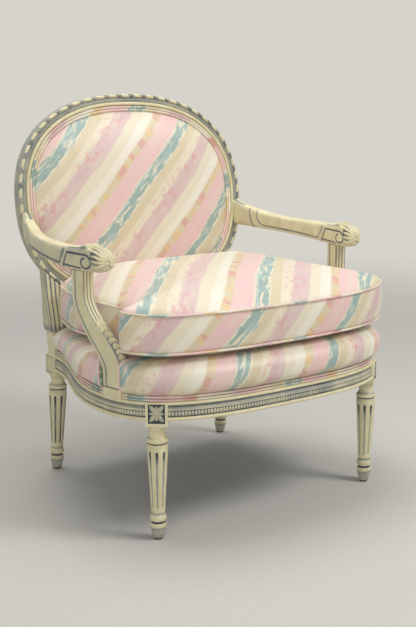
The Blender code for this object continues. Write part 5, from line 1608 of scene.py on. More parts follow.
# %% Back pads and welts
WELT_RADIUS = 0.0036
LINING_GAP = 0.0008
BACK_PAD_CROWN = 0.034
OUTSIDE_BACK_CROWN = 0.005
BACK_STRIPE_ANGLE = 46
BACK_WELT_INSET = BACK_FRAME_WIDTH + LINING_GAP
BACK_CORD = 0.9 * WELT_RADIUS
PAD_INSET = BACK_WELT_INSET + 4 * BACK_CORD + JOINT_GAP
OUTSIDE_INSET = BACK_WELT_INSET + 2 * WELT_RADIUS + JOINT_GAP
PAD_EDGE = 0.62 * HALF_FRAME
PAD_RIM = ((0.2, 0.0006), (0.97, 0.0006), (0.995, 0.25 * PAD_EDGE), (1.0, 0.75 * PAD_EDGE))
PAD_SHARES = (1.0, 0.992, 0.98, 0.965, 0.945, 0.92, 0.89, 0.85, 0.8, 0.74, 0.67, 0.59, 0.5, 0.4, 0.3, 0.2,
              0.1, 0.03)
PAD_FORM = ((0, 0.12, 0.38, 0.64, 0.84, 0.95, 1.0), (1, 1, 0.96, 0.82, 0.55, 0.26, 0.0))
OUTSIDE_RIM = ((0.2, -0.0065), (0.97, -0.0065), (1.0, -0.0085), (1.0, 0.001 - HALF_FRAME))
OUTSIDE_SHARES = (0.985, 0.96, 0.92, 0.86, 0.77, 0.66, 0.5, 0.34, 0.18, 0.04)
OUTSIDE_FORM = ((0, 0.15, 0.5, 0.86, 1.0), (1, 1, 0.95, 0.6, 0.0))


def back_ring(inset, share, depth, points=160):
    ring = []
    for angle in np.linspace(0, math.tau, points, endpoint=False):
        u, v = back_outline(angle, inset)
        ring.append(on_back(u * share, v * share, depth))
    return ring


def back_chart(co, _):
    return slanted(co.x, (co - BACK_CENTRE).dot(BACK_UP), BACK_STRIPE_ANGLE)


def back_panel(name, solid, inset, rim, level, crown, shares, form):
    """A panel in the back's opening: the rings of its rim, then a crown that rises from a level."""
    rings = [back_ring(inset, share, depth) for share, depth in rim]
    rings += [back_ring(inset, share, level + crown * float(through(*form, share))) for share in shares]
    bm = sweep(rings)
    lay_cloth(bm, back_chart)
    panel = finish_piece(name, bm, SATIN, [solid], edge=70)


def back_cord(inset, depth, radius):
    """A cord round the medallion's opening."""
    sections = [[on_back(*back_outline(angle, inset + radius * c), depth + radius * s) for c, s in circle(10)]
                for angle in np.linspace(0, math.tau, 221)]
    return sweep(sections, caps=False)


def back_welts():
    bm = back_cord(BACK_WELT_INSET + BACK_CORD, PAD_EDGE, BACK_CORD)
    join_shapes(bm, back_cord(BACK_WELT_INSET + 3 * BACK_CORD, PAD_EDGE, BACK_CORD))
    finish_piece("double_welt_back", bm, WELTING, ["inside_back_welt"], edge=90, merge=1e-6)
    bm = back_cord(BACK_WELT_INSET + WELT_RADIUS, WELT_RADIUS - HALF_FRAME, WELT_RADIUS)
    finish_piece("single_welt_back", bm, WELTING, ["outside_back_welt"], edge=90, merge=1e-6)


back_panel("inside_back_pad", "back_pad", PAD_INSET, PAD_RIM, PAD_EDGE, BACK_PAD_CROWN, PAD_SHARES, PAD_FORM)
back_panel("outside_back_panel", "outside_back", OUTSIDE_INSET, OUTSIDE_RIM, -HALF_FRAME,
           -OUTSIDE_BACK_CROWN, OUTSIDE_SHARES, OUTSIDE_FORM)
back_welts()
print("back pad stands", round(PAD_EDGE + BACK_PAD_CROWN, 4), "m before the back plane")

# %% [markdown]
# ## Seat border and deck
# The border is stuffed over the rails. It swells out, is tacked to the rail under a double welt and ends
# against the arm posts, where the welt turns up and covers the raw edge. We sweep its outline along the
# seat plan, and each height ends where the leaning post meets it.

# %% Seat border
RAIL_FILLET_SETBACK = 0.004
DECK_TOP = RAIL_TOP + 0.0795
BORDER_DEPTH = 0.045
POST_FABRIC_GAP = 0.002
BORDER_STRIPE_ANGLE = 64
BORDER_PULL = 0.35
FRONT_PULL_SHARE, SIDE_PULL_SHARE = 0.09, 0.22
BORDER_END_STEPS = 14
BORDER_END_DRAW, BORDER_END_FALL = 0.009, 0.20
WELT_INSET = RAIL_FILLET_SETBACK + 0.0014
WELT_LEVELS = (1.0, 3.7)
RAIL_CORD = 0.0023
BORDER_FOOT = WELT_INSET + 1.6 * RAIL_CORD + LINING_GAP
UPRIGHT_FRONT_Y = min(back_plane_y(RAIL_TOP) - UPRIGHT_PLAIN / 2,
                      back_plane_y(UPRIGHT_PLAIN_Z) - UPRIGHT_REEDED_DEPTH / 2)
DECK_BACK_Y = min(UPRIGHT_FRONT_Y, REAR_LEG_Y - REAR_BLOCK / 2) - 2 * JOINT_GAP
BORDER_LOW = RAIL_TOP + JOINT_GAP
BORDER_RISE = DECK_TOP - BORDER_LOW
BORDER_TUCK = ((WELT_LEVELS[1] + 1) * RAIL_CORD + LINING_GAP) / BORDER_RISE


def border_face(points=26):
    """(inset, height) of the border's show face, from the tuck behind the welt to the deck."""
    shares = (BORDER_TUCK, BORDER_TUCK + 0.07, 0.32, 0.48, 0.68, 0.83, 0.92, 0.965)
    insets = (BORDER_FOOT, 0.15 * BORDER_FOOT, -0.7 * BORDER_BULGE, -BORDER_BULGE, -0.7 * BORDER_BULGE,
              0.003, 0.017, 0.035)
    turns = np.linspace(0, 1, len(shares))
    face = []
    for t in np.linspace(0, 1, points):
        rise = BORDER_RISE * float(through(turns, shares, t))
        face.append((float(through(turns, insets, t)), BORDER_LOW + rise))
    return face


def border_profile():
    face = border_face()
    inner = [(BORDER_DEPTH, DECK_TOP - 0.002), (BORDER_DEPTH, BORDER_LOW)]
    return [(BORDER_FOOT, BORDER_LOW)] + face + inner


def pulled(profile):
    """The profile at a post, where the cover is pulled tight and bulges less."""
    return [(inset * BORDER_PULL if inset < 0 else inset, z) for inset, z in profile]


def bulge_after(share):
    """How far the cover bulges at a share of the way from a post."""
    return BORDER_PULL + (1 - BORDER_PULL) * ease(share)


def post_runs(side, profile, behind):
    """Where each point of a profile meets a post's back (1) or front (-1)."""
    runs = []
    for inset, z in profile:
        face = post_point(side, 0, behind * (post_half_depth(z) + POST_FABRIC_GAP), z)
        runs.append(run_crossing(raised(face, 0), POST_BACK[side], side * POST_RUN, inset))
    return runs


def cut_border(bm, hand):
    """Turn the sweep's own measures, along the rail and up the face, to the slant of the stripes."""
    layer = bm.loops.layers.uv["cloth"]
    for face in bm.faces:
        for loop in face.loops:
            loop[layer].uv = slanted(hand * loop[layer].uv.x, loop[layer].uv.y, BORDER_STRIPE_ANGLE)


def border_pieces():
    profile = border_profile()
    tight = pulled(profile)
    bm = sweep(on_plan(profile, post_runs(-1, tight, -1), post_runs(1, tight, -1), 96,
                       bulge=lambda t: bulge_after(min(t, 1 - t) / FRONT_PULL_SHARE)))
    cut_border(bm, 1)
    made = [finish_piece("stuffed_front_border", bm, SATIN, ["front_border"], edge=60)]
    for side, name in SIDES.items():
        end = side * run_at_y(DECK_BACK_Y)
        square = signed_angle(plan_at(end)[1], Vector((side, 0, 0)))
        sections = on_plan(profile, post_runs(side, tight, 1), [end] * len(profile), 48, 0.0, square,
                           lambda t: bulge_after(t / SIDE_PULL_SHARE))
        for k in range(BORDER_END_STEPS):
            fall = (1 - k / BORDER_END_STEPS) ** 2
            for point in sections[-1 - k]:
                point.x -= side * BORDER_END_DRAW * fall
                point.z -= BORDER_END_FALL * fall * (point.z - BORDER_LOW)
        bm = sweep(sections)
        cut_border(bm, side)
        made.append(finish_piece(f"stuffed_side_border_{name}", bm, SATIN,
                                 [f"side_border_{name}"], edge=60))
    half = REAR_LEG_X - UPRIGHT_REEDED / 2 - 2 * JOINT_GAP
    outer_y = REAR_LEG_Y + REAR_BLOCK / 2
    inner = outer_y - DECK_BACK_Y - JOINT_GAP
    sections = [[Vector((x, outer_y - min(inset, inner), z)) for inset, z in profile]
                for x in np.linspace(-half, half, 40)]
    bm = sweep(sections)
    cut_border(bm, -1)
    made.append(finish_piece("stuffed_rear_border", bm, SATIN, ["rear_border"], edge=60))


border_pieces()
print("border rises", round(BORDER_RISE, 4), "m above the rail")

# %% [markdown]
# The double welt lies on the rail along the border's foot. At each post it turns up and follows the
# border's end to the deck.

# %% Rail welts
def rail_cord(start, end, steps, level):
    """A cord along the rail, at a level of so many radii."""
    places, outs = [], []
    for run in np.linspace(start, end, steps):
        place, normal = plan_at(run)
        places.append(raised(place - normal * (WELT_INSET + RAIL_CORD), BORDER_LOW + level * RAIL_CORD))
        outs.append(normal)
    return sweep(cord_loop(places, outs, [UP] * steps, RAIL_CORD))


def rising_cord(side, behind):
    """The cord that covers the border's end beside a post."""
    face = [row for row in pulled(border_face(16)) if row[1] > BORDER_LOW + 3 * RAIL_CORD]
    runs = post_runs(side, face, behind)
    shift = side * behind * 1.1 * RAIL_CORD
    places, outs = [], []
    for (inset, z), run in zip(face, runs):
        place, normal = plan_at(run + shift)
        places.append(raised(place - normal * (inset - 0.5 * RAIL_CORD), z))
        outs.append(normal)
    ups = [(plan_at(run + 0.001)[0] - plan_at(run - 0.001)[0]).normalized() for run in runs]
    bm = sweep(cord_loop(places, outs, ups, RAIL_CORD))
    pink = 0.16 * STRIPE_REPEAT / WELT_STRETCH
    lay_cloth(bm, lambda co, _: (pink + WELT_STRETCH * (co.z - BORDER_LOW), co.x))
    return bm


def double_cord(start, end, steps):
    return join_shapes(*(rail_cord(start, end, steps, level) for level in WELT_LEVELS))


def rail_welts():
    foot = [(WELT_INSET + RAIL_CORD, BORDER_LOW + sum(WELT_LEVELS) / 2 * RAIL_CORD)]
    bm = double_cord(post_runs(-1, foot, -1)[0], post_runs(1, foot, -1)[0], 130)
    for side in SIDES:
        join_shapes(bm, rising_cord(side, -1))
    finish_piece("front_double_welt", bm, WELTING, ["front_rail_welt"], edge=90)
    for side, name in SIDES.items():
        bm = double_cord(post_runs(side, foot, 1)[0], side * run_at_y(DECK_BACK_Y), 70)
        join_shapes(bm, rising_cord(side, 1))
        finish_piece(f"side_double_welt_{name}", bm, WELTING, [f"side_rail_welt_{name}"], edge=90)


rail_welts()
print("rail welts sewn")

# %% [markdown]
# The deck under the loose cushion is a flat pad, covered in the same satin, that ends inside the border.

# %% Deck
DECK_GAP = 0.003
DECK_PAD_THICKNESS = 0.036
DECK_RINGS = ((0.2, 1), (0.985, 1), (1.0, 0.9), (1.0, 0.16), (0.994, 0.05), (0.98, 0.01), (0.9, 0), (0.7, 0),
              (0.45, 0), (0.2, 0), (0.04, 0))
SEAT_MIDDLE = Vector((0, 0.2, 0))
SEAT_STRIPE_ANGLE = 47


def deck_outline(inset, points=120):
    end = run_at_y(DECK_BACK_Y)
    places = [inset_plan(run, inset) for run in np.linspace(-end, end, points)]
    return [Vector((place.x, min(place.y, DECK_BACK_Y), 0)) for place in places]


def level_ring(outline, z):
    """Rings of an outline, drawn in toward the seat's middle and sunk below a level."""
    return lambda share, depth: [raised(SEAT_MIDDLE + (place - SEAT_MIDDLE) * share, z - depth)
                                 for place in outline]


def deck():
    ring_at = level_ring(deck_outline(BORDER_DEPTH + DECK_GAP), DECK_TOP)
    bm = sweep([ring_at(share, drop * DECK_PAD_THICKNESS) for share, drop in DECK_RINGS])
    lay_cloth(bm, lambda co, _: slanted(co.x, co.y, SEAT_STRIPE_ANGLE))
    pad = finish_piece("covered_deck", bm, SATIN, ["deck_pad"], edge=60)


deck()
print("deck lies at", round(DECK_TOP, 4), "m")

# %% [markdown]
# ## The loose cushion
# The T-shaped cushion has ears before the arm posts. Its top and bottom are cut flat, sewn to a boxing
# strip with a welt in each seam, and stuffed hard, so it crowns in the middle and the boxing bulges between
# the seams. We draw it a little lean, pin the seams and let a cloth simulation blow it up.

# %% Cushion outline
CUSHION_BOTTOM = DECK_TOP + JOINT_GAP
CUSHION_LOW_WELT = CUSHION_BOTTOM + 0.0125
CUSHION_BOXING = 0.075
CUSHION_CORD = 0.0024
CUSHION_TOP_WELT = CUSHION_LOW_WELT + CUSHION_BOXING
CUSHION_CROWN = 0.057
CUSHION_CLEARANCE = 0.002
CUSHION_EAR_X = SEAT_HALF_WIDTH
CUSHION_EAR_POWER = 2.6
CUSHION_FRONT_Y = 0.016 - SEAT_FRONT_BOW
CUSHION_BACK_Y = SEAT_REAR_Y - 0.030
CUSHION_BACK_BOW = 0.013
CUSHION_CORNER = 0.022
CUSHION_SIDE_SETBACK = 0.004
CUSHION_REAR_CORNER = 0.050
CUSHION_ROOM = 2 * WELT_RADIUS + JOINT_GAP + CUSHION_CLEARANCE
POST_FRONT = -post_half_depth(CUSHION_BOTTOM)
CUSHION_NECK_X = post_point(1, -POST_WIDTH / 2, POST_FRONT, CUSHION_BOTTOM).x - CUSHION_ROOM
CUSHION_EAR_BACK = post_point(1, POST_WIDTH / 2, POST_FRONT, CUSHION_BOTTOM).y - CUSHION_ROOM
CUSHION_MIDDLE = Vector((0, (CUSHION_BACK_Y - SEAT_FRONT_BOW) / 2, 0))


def cushion_corners():
    """Right half of the plan: bowed front, ear, neck beside the post, side and round rear corner."""
    depth = SEAT_WIDEST_Y - CUSHION_FRONT_Y
    ear, corner, power = CUSHION_EAR_BACK, CUSHION_CORNER, CUSHION_EAR_POWER
    ear_front = ear - corner - SEAT_WIDEST_Y
    reach = CUSHION_EAR_X / (1 - abs(ear_front / depth) ** power) ** (1 / power)
    points = []
    for angle in np.linspace(-math.pi / 2, math.atan2(ear_front, CUSHION_EAR_X), 14):
        x, y = superellipse(angle, reach, depth, power)
        points.append((x, y + SEAT_WIDEST_Y))
    points += [(CUSHION_EAR_X - 0.25 * corner, ear - 0.25 * corner), (CUSHION_EAR_X - corner, ear),
               (CUSHION_NECK_X + 0.8 * corner, ear), (CUSHION_NECK_X, ear + corner)]
    for y in np.linspace(ear + 5 * corner, CUSHION_BACK_Y - CUSHION_REAR_CORNER, 7):
        points.append((min(CUSHION_NECK_X, half_width_at(y) - CUSHION_SIDE_SETBACK), y))
    side_x = points[-1][0]
    for angle in (30, 60, 90):
        turn = math.radians(angle)
        points.append((side_x - CUSHION_REAR_CORNER * (1 - math.cos(turn)),
                       CUSHION_BACK_Y - CUSHION_REAR_CORNER * (1 - math.sin(turn))))
    for share in (0.6, 0.3):
        points.append((side_x * share, CUSHION_BACK_Y + CUSHION_BACK_BOW * (1 - share ** 2)))
    return points


def evenly(points, count):
    """A closed line resampled at even steps."""
    closed = np.vstack((points, points[:1]))
    run = running_length(closed)
    at = np.linspace(0, run[-1], count, endpoint=False)
    return np.stack([np.interp(at, run, closed[:, k]) for k in (0, 1)], 1)


def worn(points, rounds):
    """A closed line with its corners worn off."""
    for _ in range(rounds):
        points = (np.roll(points, 1, 0) + 2 * points + np.roll(points, -1, 0)) / 4
    return points


def outward(points):
    """Outward normals of a closed line."""
    along = np.roll(points, -1, 0) - np.roll(points, 1, 0)
    along /= np.linalg.norm(along, axis=1, keepdims=True)
    return np.stack((along[:, 1], -along[:, 0]), 1)


def cushion_line(count=560):
    half = cushion_corners()
    corners = np.array(half + [(-x, y) for x, y in half[:0:-1]])
    return worn(evenly(corners, count), 16)


CUSHION_LINE = cushion_line()
CUSHION_OUT = outward(CUSHION_LINE)
CUSHION_SOFT = worn(CUSHION_LINE, 1600)
CUSHION_STEP = float(np.linalg.norm(CUSHION_LINE[1] - CUSHION_LINE[0]))
print("cushion seam", round(CUSHION_STEP * len(CUSHION_LINE), 3), "m long")

# %% Lean cushion blank
LEAN_CROWN = 0.90
BLANK_BASE = ((0.1, 1, 0), (0.4, 0.9, 0), (0.7, 0.6, 0), (0.86, 0.3, 0.0005), (0.93, 0.15, 0.003),
              (0.975, 0.05, 0.0075))
BLANK_CROWN = ((0.975, 0.135, 0.02), (0.95, 0.25, 0.06), (0.91, 0.41, 0.12), (0.86, 0.54, 0.2),
               (0.78, 0.69, 0.32), (0.68, 0.81, 0.45), (0.56, 0.90, 0.6), (0.42, 0.96, 0.75),
               (0.28, 0.99, 0.9), (0.14, 1, 1), (0.04, 1, 1))
CROWN_REACH = 0.045
BLANK_VOXEL = 0.006


def cushion_ring(share, ease_in, out, z):
    middle = np.array(CUSHION_MIDDLE.xy)
    line = CUSHION_LINE * (1 - ease_in) + CUSHION_SOFT * ease_in + CUSHION_OUT * out
    line = middle + (line - middle) * share
    return [Vector((x, y, z)) for x, y in line]


def cushion_blank():
    """The cut and sewn shape before stuffing."""
    low, top = CUSHION_LOW_WELT, CUSHION_TOP_WELT
    rings = [cushion_ring(share, ease_in, 0, CUSHION_BOTTOM + lift) for share, ease_in, lift in BLANK_BASE]
    for t in np.linspace(0, 1, 9):
        out = 0.0045 * math.sin(math.pi * t) ** 0.7 - 0.0015
        rings.append(cushion_ring(1, 0, out, low + (top - low) * t))
    for share, rise, ease_in in BLANK_CROWN:
        rings.append(cushion_ring(share, ease_in, 0, top + LEAN_CROWN * rise * CUSHION_CROWN))
    bm = sweep(rings)
    bmesh.ops.recalc_face_normals(bm, faces=bm.faces)
    blank = stand("cushion_blank", as_mesh("cushion_blank", bm))
    remesh = blank.modifiers.new("remesh", "REMESH")
    remesh.mode = "VOXEL"
    remesh.voxel_size = BLANK_VOXEL
    even = bpy.data.meshes.new_from_object(blank.evaluated_get(bpy.context.evaluated_depsgraph_get()))
    blank.modifiers.clear()
    blank.data = even
    return blank


def places_of(mesh):
    return read_rows(mesh.vertices, "co", 3).astype(float)


BLANK = cushion_blank()
print("blank has", len(BLANK.data.vertices), "points")

# %% Stuffing the cushion
CLOTH_FRAMES = 20
CLOTH_PRESSURE = 4.0
TOP_SWELL = 0.012
BOXING_SWELL = 0.0045
SEAM_PIN = 0.007
SEAM_HOLD, SEAM_RELEASE = 0.004, 0.030
LOOSE_FROM = 0.012
PUCKER, PUCKER_REACH = 0.0009, 0.016
SEARCH_BATCH = 4000
PUCKER_PITCH, PUCKER_DRIFT = 0.038, 0.31
EAR_LIFT, EAR_REACH = 0.006, 0.055


def seam_distance(places):
    """Distance of each point from the nearer welt seam, and the seam step beside it."""
    nearest = np.empty(len(places), int)
    away = np.empty(len(places))
    for start in range(0, len(places), SEARCH_BATCH):
        batch = slice(start, start + SEARCH_BATCH)
        part = places[batch, None, :2] - CUSHION_LINE[None]
        gaps = np.hypot(part[..., 0], part[..., 1])
        nearest[batch], away[batch] = gaps.argmin(1), gaps.min(1)
    rise = np.minimum(abs(places[:, 2] - CUSHION_TOP_WELT), abs(places[:, 2] - CUSHION_LOW_WELT))
    return np.hypot(away, rise), nearest, away


def blow_up(blank, pinned):
    """Cloth with inner pressure and no weight; the pinned points hold the seams."""
    group = blank.vertex_groups.new(name="seams")
    group.add([int(i) for i in np.nonzero(pinned)[0]], 1.0, "REPLACE")
    cloth = blank.modifiers.new("cloth", "CLOTH")
    cloth.settings.use_pressure = True
    cloth.settings.uniform_pressure_force = CLOTH_PRESSURE
    cloth.settings.effector_weights.gravity = 0
    cloth.settings.vertex_group_mass = "seams"
    cloth.collision_settings.use_collision = False
    cloth.point_cache.frame_end = CLOTH_FRAMES
    for step in range(1, CLOTH_FRAMES + 1):
        bpy.context.scene.frame_set(step)
    swollen = places_of(blank.evaluated_get(bpy.context.evaluated_depsgraph_get()).data)
    blank.modifiers.clear()
    bpy.context.scene.frame_set(1)
    return swollen


def ear_lift(x, y):
    """The stiff corners of the ears stand up a little."""
    away = np.hypot(abs(x) - CUSHION_EAR_X, y - CUSHION_EAR_BACK + CUSHION_CORNER)
    return EAR_LIFT * np.exp(-(away / EAR_REACH) ** 2)


def stuffed_places(blank):
    lean = places_of(blank.data)
    seam, nearest, away = seam_distance(lean)
    resting = lean[:, 2] < CUSHION_BOTTOM + 0.003
    boxing = (lean[:, 2] < CUSHION_TOP_WELT + 0.001) & ~resting
    crown = LEAN_CROWN * CUSHION_CROWN * (1 - np.exp(-away / CROWN_REACH))
    lean[:, 2] = np.where(boxing | resting, lean[:, 2], CUSHION_TOP_WELT + crown)
    blank.data.vertices.foreach_set("co", lean.astype(np.float32).ravel())
    push = blow_up(blank, (seam < SEAM_PIN) | resting) - lean
    size = np.linalg.norm(push, axis=1, keepdims=True)
    cap = np.where(boxing, BOXING_SWELL, TOP_SWELL)[:, None]
    push *= np.minimum(1, cap / np.maximum(size, 1e-9))
    free = np.clip((seam - SEAM_HOLD) / SEAM_RELEASE, 0, 1)
    push *= (free * free * (3 - 2 * free) * ~resting)[:, None]
    run = math.tau * nearest * CUSHION_STEP
    waves = np.sin(run / PUCKER_PITCH + 1.3 * np.sin(run / PUCKER_DRIFT))
    pucker = PUCKER * np.exp(-seam / PUCKER_REACH) * waves
    push[:, 2] += np.where(boxing | resting, 0, pucker) + ear_lift(lean[:, 0], lean[:, 1])
    return lean + push, seam > LOOSE_FROM


def cushion_chart(co, face):
    """Top and bottom are cut flat; the boxing is a strip that follows the seam."""
    middle = face.calc_center_median()
    on_boxing = CUSHION_LOW_WELT - 0.001 <= middle.z <= CUSHION_TOP_WELT + 0.001
    if abs(face.normal.z) > 0.72 or not on_boxing:
        return slanted(co.x, co.y, SEAT_STRIPE_ANGLE)
    gaps = np.hypot(CUSHION_LINE[:, 0] - middle.x, CUSHION_LINE[:, 1] - middle.y)
    spot = int(gaps.argmin())
    run = spot * CUSHION_STEP
    if spot > len(CUSHION_LINE) / 2:
        run -= CUSHION_STEP * len(CUSHION_LINE)
    along = Vector((-CUSHION_OUT[spot][1], CUSHION_OUT[spot][0]))
    run += (Vector((co.x, co.y)) - Vector(CUSHION_LINE[spot])).dot(along)
    return slanted(run, co.z - CUSHION_TOP_WELT + CUSHION_FRONT_Y, SEAT_STRIPE_ANGLE)


def stuff_cushion(blank):
    places, loose = stuffed_places(blank)
    blank.data.vertices.foreach_set("co", places.astype(np.float32).ravel())
    bm = bmesh.new()
    bm.from_mesh(blank.data)
    bpy.data.objects.remove(blank, do_unlink=True)
    loose = [vert for vert, free in zip(bm.verts, loose) if free]
    for verts in (bm.verts[:], *[loose] * 6):
        bmesh.ops.smooth_vert(bm, verts=verts, factor=0.5, use_axis_x=True, use_axis_y=True, use_axis_z=True)
    bm.normal_update()
    lay_cloth(bm, cushion_chart)
    cushion = finish_piece("stuffed_seat_cushion", bm, SATIN, ["seat_cushion"], "cushion",
                           edge=180)
    finer = cushion.modifiers.new("finer", "SUBSURF")
    finer.levels = finer.render_levels = 1
    return max(vertex.co.z for vertex in cushion.data.vertices)


print("cushion crowns at", round(stuff_cushion(BLANK), 4), "m")

# %% Cushion welts
def drawn_seam(rounds=48):
    """The seam, drawn in where the stuffed corners are rounder than the cut."""
    pull = ((worn(CUSHION_LINE, rounds) - CUSHION_LINE) * CUSHION_OUT).sum(1)
    return CUSHION_LINE + CUSHION_OUT * np.minimum(0, pull)[:, None]


def cushion_welts():
    seam = drawn_seam()
    line = np.vstack((seam, seam[:1]))[::2]
    normals = np.vstack((CUSHION_OUT, CUSHION_OUT[:1]))[::2]
    for name, z in (("top", CUSHION_TOP_WELT), ("bottom", CUSHION_LOW_WELT)):
        outs = [Vector((x, y, 0)) for x, y in normals]
        centres = [Vector((x, y, z + ear_lift(x, y))) + out * (JOINT_GAP + 0.55 * CUSHION_CORD)
                   for (x, y), out in zip(line, outs)]
        bm = sweep(cord_loop(centres, outs, [UP] * len(outs), CUSHION_CORD, 12), caps=False)
        finish_piece(f"{name}_cushion_cord", bm, WELTING, [f"cushion_welt_{name}"], "cushion",
                     edge=90, merge=1e-6)


cushion_welts()
print("cushion sewn")

# %% [markdown]
# ## Inside the seat and back
# Under the cover, jute webbing is woven over and under across the rails and across the back, burlap lies on
# the springs, and a black dust cover closes the seat from below. These are sheets under tension, so they
# are modelled flat, cut to size. The springs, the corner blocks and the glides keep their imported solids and
# get a finish.

# %% Woven and plain finishes
def woven(name, dark, light, pitch, depth):
    """A plain weave on the cloth map: threads in both directions, one over the other by turns."""
    material, tree, shader = new_material(name)
    cloth = node(tree, "ShaderNodeUVMap", {"uv_map": "cloth"}).outputs[0]
    parts = node(tree, "ShaderNodeSeparateXYZ", None, i0=cloth).outputs
    warp, weft = [sums(tree, "SINE", sums(tree, "MULTIPLY", part, math.pi / pitch)) for part in parts[:2]]
    weave = sums(tree, "MULTIPLY_ADD", sums(tree, "MULTIPLY", warp, weft), 0.5, 0.5)
    slub = noise(tree, cloth, 260.0, 3.0)
    shade = sums(tree, "MULTIPLY_ADD", slub, 0.5, sums(tree, "MULTIPLY", weave, 0.5))
    tree.links.new(blended(tree, shade, dark, light), shader.inputs["Base Color"])
    shader.inputs["Roughness"].default_value = 0.9
    bumped(tree, shader, shade, 0.5, depth)
    return material


def on_solid(name, dark, light, stretch, roughness, metallic=0.0):
    """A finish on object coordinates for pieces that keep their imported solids."""
    material, tree, shader = new_material(name)
    coords = node(tree, "ShaderNodeTexCoord").outputs["Object"]
    place = node(tree, "ShaderNodeMapping", None, Vector=coords, Scale=stretch).outputs[0]
    streak = noise(tree, place, 1.0, 5.0, 0.6)
    tree.links.new(blended(tree, streak, dark, light), shader.inputs["Base Color"])
    tree.links.new(sums(tree, "MULTIPLY_ADD", streak, 0.2, roughness), shader.inputs["Roughness"])
    shader.inputs["Metallic"].default_value = metallic
    bumped(tree, shader, streak, 0.15, 0.0006)
    return material


JUTE = woven("jute_webbing", colour(120, 92, 56), colour(196, 164, 116), 0.0022, 0.0006)
BURLAP = woven("burlap", colour(116, 92, 58), colour(190, 162, 118), 0.0016, 0.0005)
CAMBRIC = woven("black_cambric", colour(16, 16, 17), colour(38, 38, 40), 0.0008, 0.0002)
SOLID_FINISHES = {
    "spring": on_solid("spring_steel", colour(112, 112, 116), colour(150, 150, 153), (60, 60, 60), 0.28, 1.0),
    "corner_block": on_solid("bare_beech", colour(176, 132, 88), colour(216, 178, 132), (18, 160, 160), 0.6),
    "glide": on_solid("glide_nylon", colour(24, 22, 20), colour(40, 37, 34), (300, 300, 300), 0.42),
}
finished = 0
for name, solid in frame["nodes"].items():
    for mark, finish in SOLID_FINISHES.items():
        if mark in name:
            solid.data.materials.clear()
            solid.data.materials.append(finish)
            finished += 1
print("packed solids finished:", finished)

# %% Webbing
WEB_WIDTH = 0.050
WEB_THICKNESS = 0.0015
WEB_STEP = (WEB_THICKNESS + JOINT_GAP) / 2
WEB_HOLD = RAIL_REBATE + 0.006
SEAT_WEB_Z = RAIL_BOTTOM + RAIL_REBATE_HEIGHT - JOINT_GAP - WEB_THICKNESS - JOINT_GAP / 2
LENGTH_WEB_X = 0.115
CROSS_WEB_Y = (0.080, 0.200, 0.320)
BACK_WEB_U = 0.115
BACK_WEB_V = 0.070
BACK_WEB_DEPTH = -0.0018 - WEB_THICKNESS - JOINT_GAP / 2
WEB_NAMES = ("left", "middle", "right")
WEB_CORNERS = ((-1, -1), (1, -1), (1, 1), (-1, 1))


def over_under(at, crossings, sign):
    """Height of a strap that passes over one crossing strap and under the next."""
    knots = sorted(crossings)
    heights = [sign * WEB_STEP * (-1) ** k for k in range(len(knots))]
    return float(np.interp(at, knots, heights))


def strap(name, centre_at, start, end, across, up):
    """A webbing strap along centre_at(run), woven flat, as one thin closed piece."""
    wide, thick = across * (WEB_WIDTH / 2), up * (WEB_THICKNESS / 2)
    sections = [[centre_at(run) + wide * a + thick * b for a, b in WEB_CORNERS]
                for run in np.linspace(start, end, 61)]
    piece = finish_piece(f"{name}_strap", sweep(sections), JUTE, [name], edge=40)
    return end - start


def seat_straps():
    rear = REAR_LEG_Y + REAR_BLOCK / 2 - WEB_HOLD
    right, ahead = Vector((1, 0, 0)), Vector((0, 1, 0))
    total = 0.0
    for k, name in enumerate(WEB_NAMES):
        x = (k - 1) * LENGTH_WEB_X
        front = max(inset_plan(run, WEB_HOLD).y for run in np.linspace(-0.12, 0.12, 25) + x
                    if abs(inset_plan(run, WEB_HOLD).x - x) < 0.6 * WEB_WIDTH)
        total += strap(f"seat_webbing_{name}",
                       lambda y: Vector((x, y, SEAT_WEB_Z + over_under(y, CROSS_WEB_Y, (-1) ** k))),
                       front, rear, right, UP)
    lengthways = [(k - 1) * LENGTH_WEB_X for k in range(3)]
    for k, y in enumerate(CROSS_WEB_Y):
        half = min(half_width_at(y - WEB_WIDTH / 2), half_width_at(y + WEB_WIDTH / 2)) - WEB_HOLD
        total += strap(f"cross_webbing_{k + 1}",
                       lambda x: Vector((x, y, SEAT_WEB_Z - over_under(x, lengthways, (-1) ** k))),
                       -half, half, ahead, UP)
    return total


def back_reach(across, lengthways):
    """How far the back's opening lets a strap run at an offset from the middle."""
    ring = np.array([back_outline(angle, BACK_WELT_INSET) for angle in np.linspace(0, math.tau, 721)])
    if lengthways:
        ring = ring[:, ::-1]
    side = ring[ring[:, 0] > 0]
    return float(side[abs(side[:, 1] - across).argmin(), 0]) - LINING_GAP


def back_straps():
    total = 0.0
    rights = [(k - 1) * BACK_WEB_U for k in range(3)]
    ups = (-BACK_WEB_V, BACK_WEB_V)
    for k, name in enumerate(WEB_NAMES):
        u, reach = rights[k], back_reach(abs(rights[k]) + WEB_WIDTH / 2, True)
        total += strap(f"back_webbing_{name}",
                       lambda v: on_back(u, v, BACK_WEB_DEPTH + over_under(v, ups, (-1) ** k)),
                       -reach, reach, Vector((1, 0, 0)), BACK_FRONT)
    for k, name in enumerate(("lower", "upper")):
        v, reach = ups[k], back_reach(BACK_WEB_V + WEB_WIDTH / 2, False)
        total += strap(f"back_cross_webbing_{name}",
                       lambda u: on_back(u, v, BACK_WEB_DEPTH - over_under(u, rights, (-1) ** k)),
                       -reach, reach, BACK_UP, BACK_FRONT)
    return total


print("webbing woven:", round(seat_straps() + back_straps(), 2), "m")

# %% Burlap and dust cover
BURLAP_THICKNESS = 0.0015
COVER_THICKNESS = 0.0009
BLOCK_CLEAR = 3 * JOINT_GAP


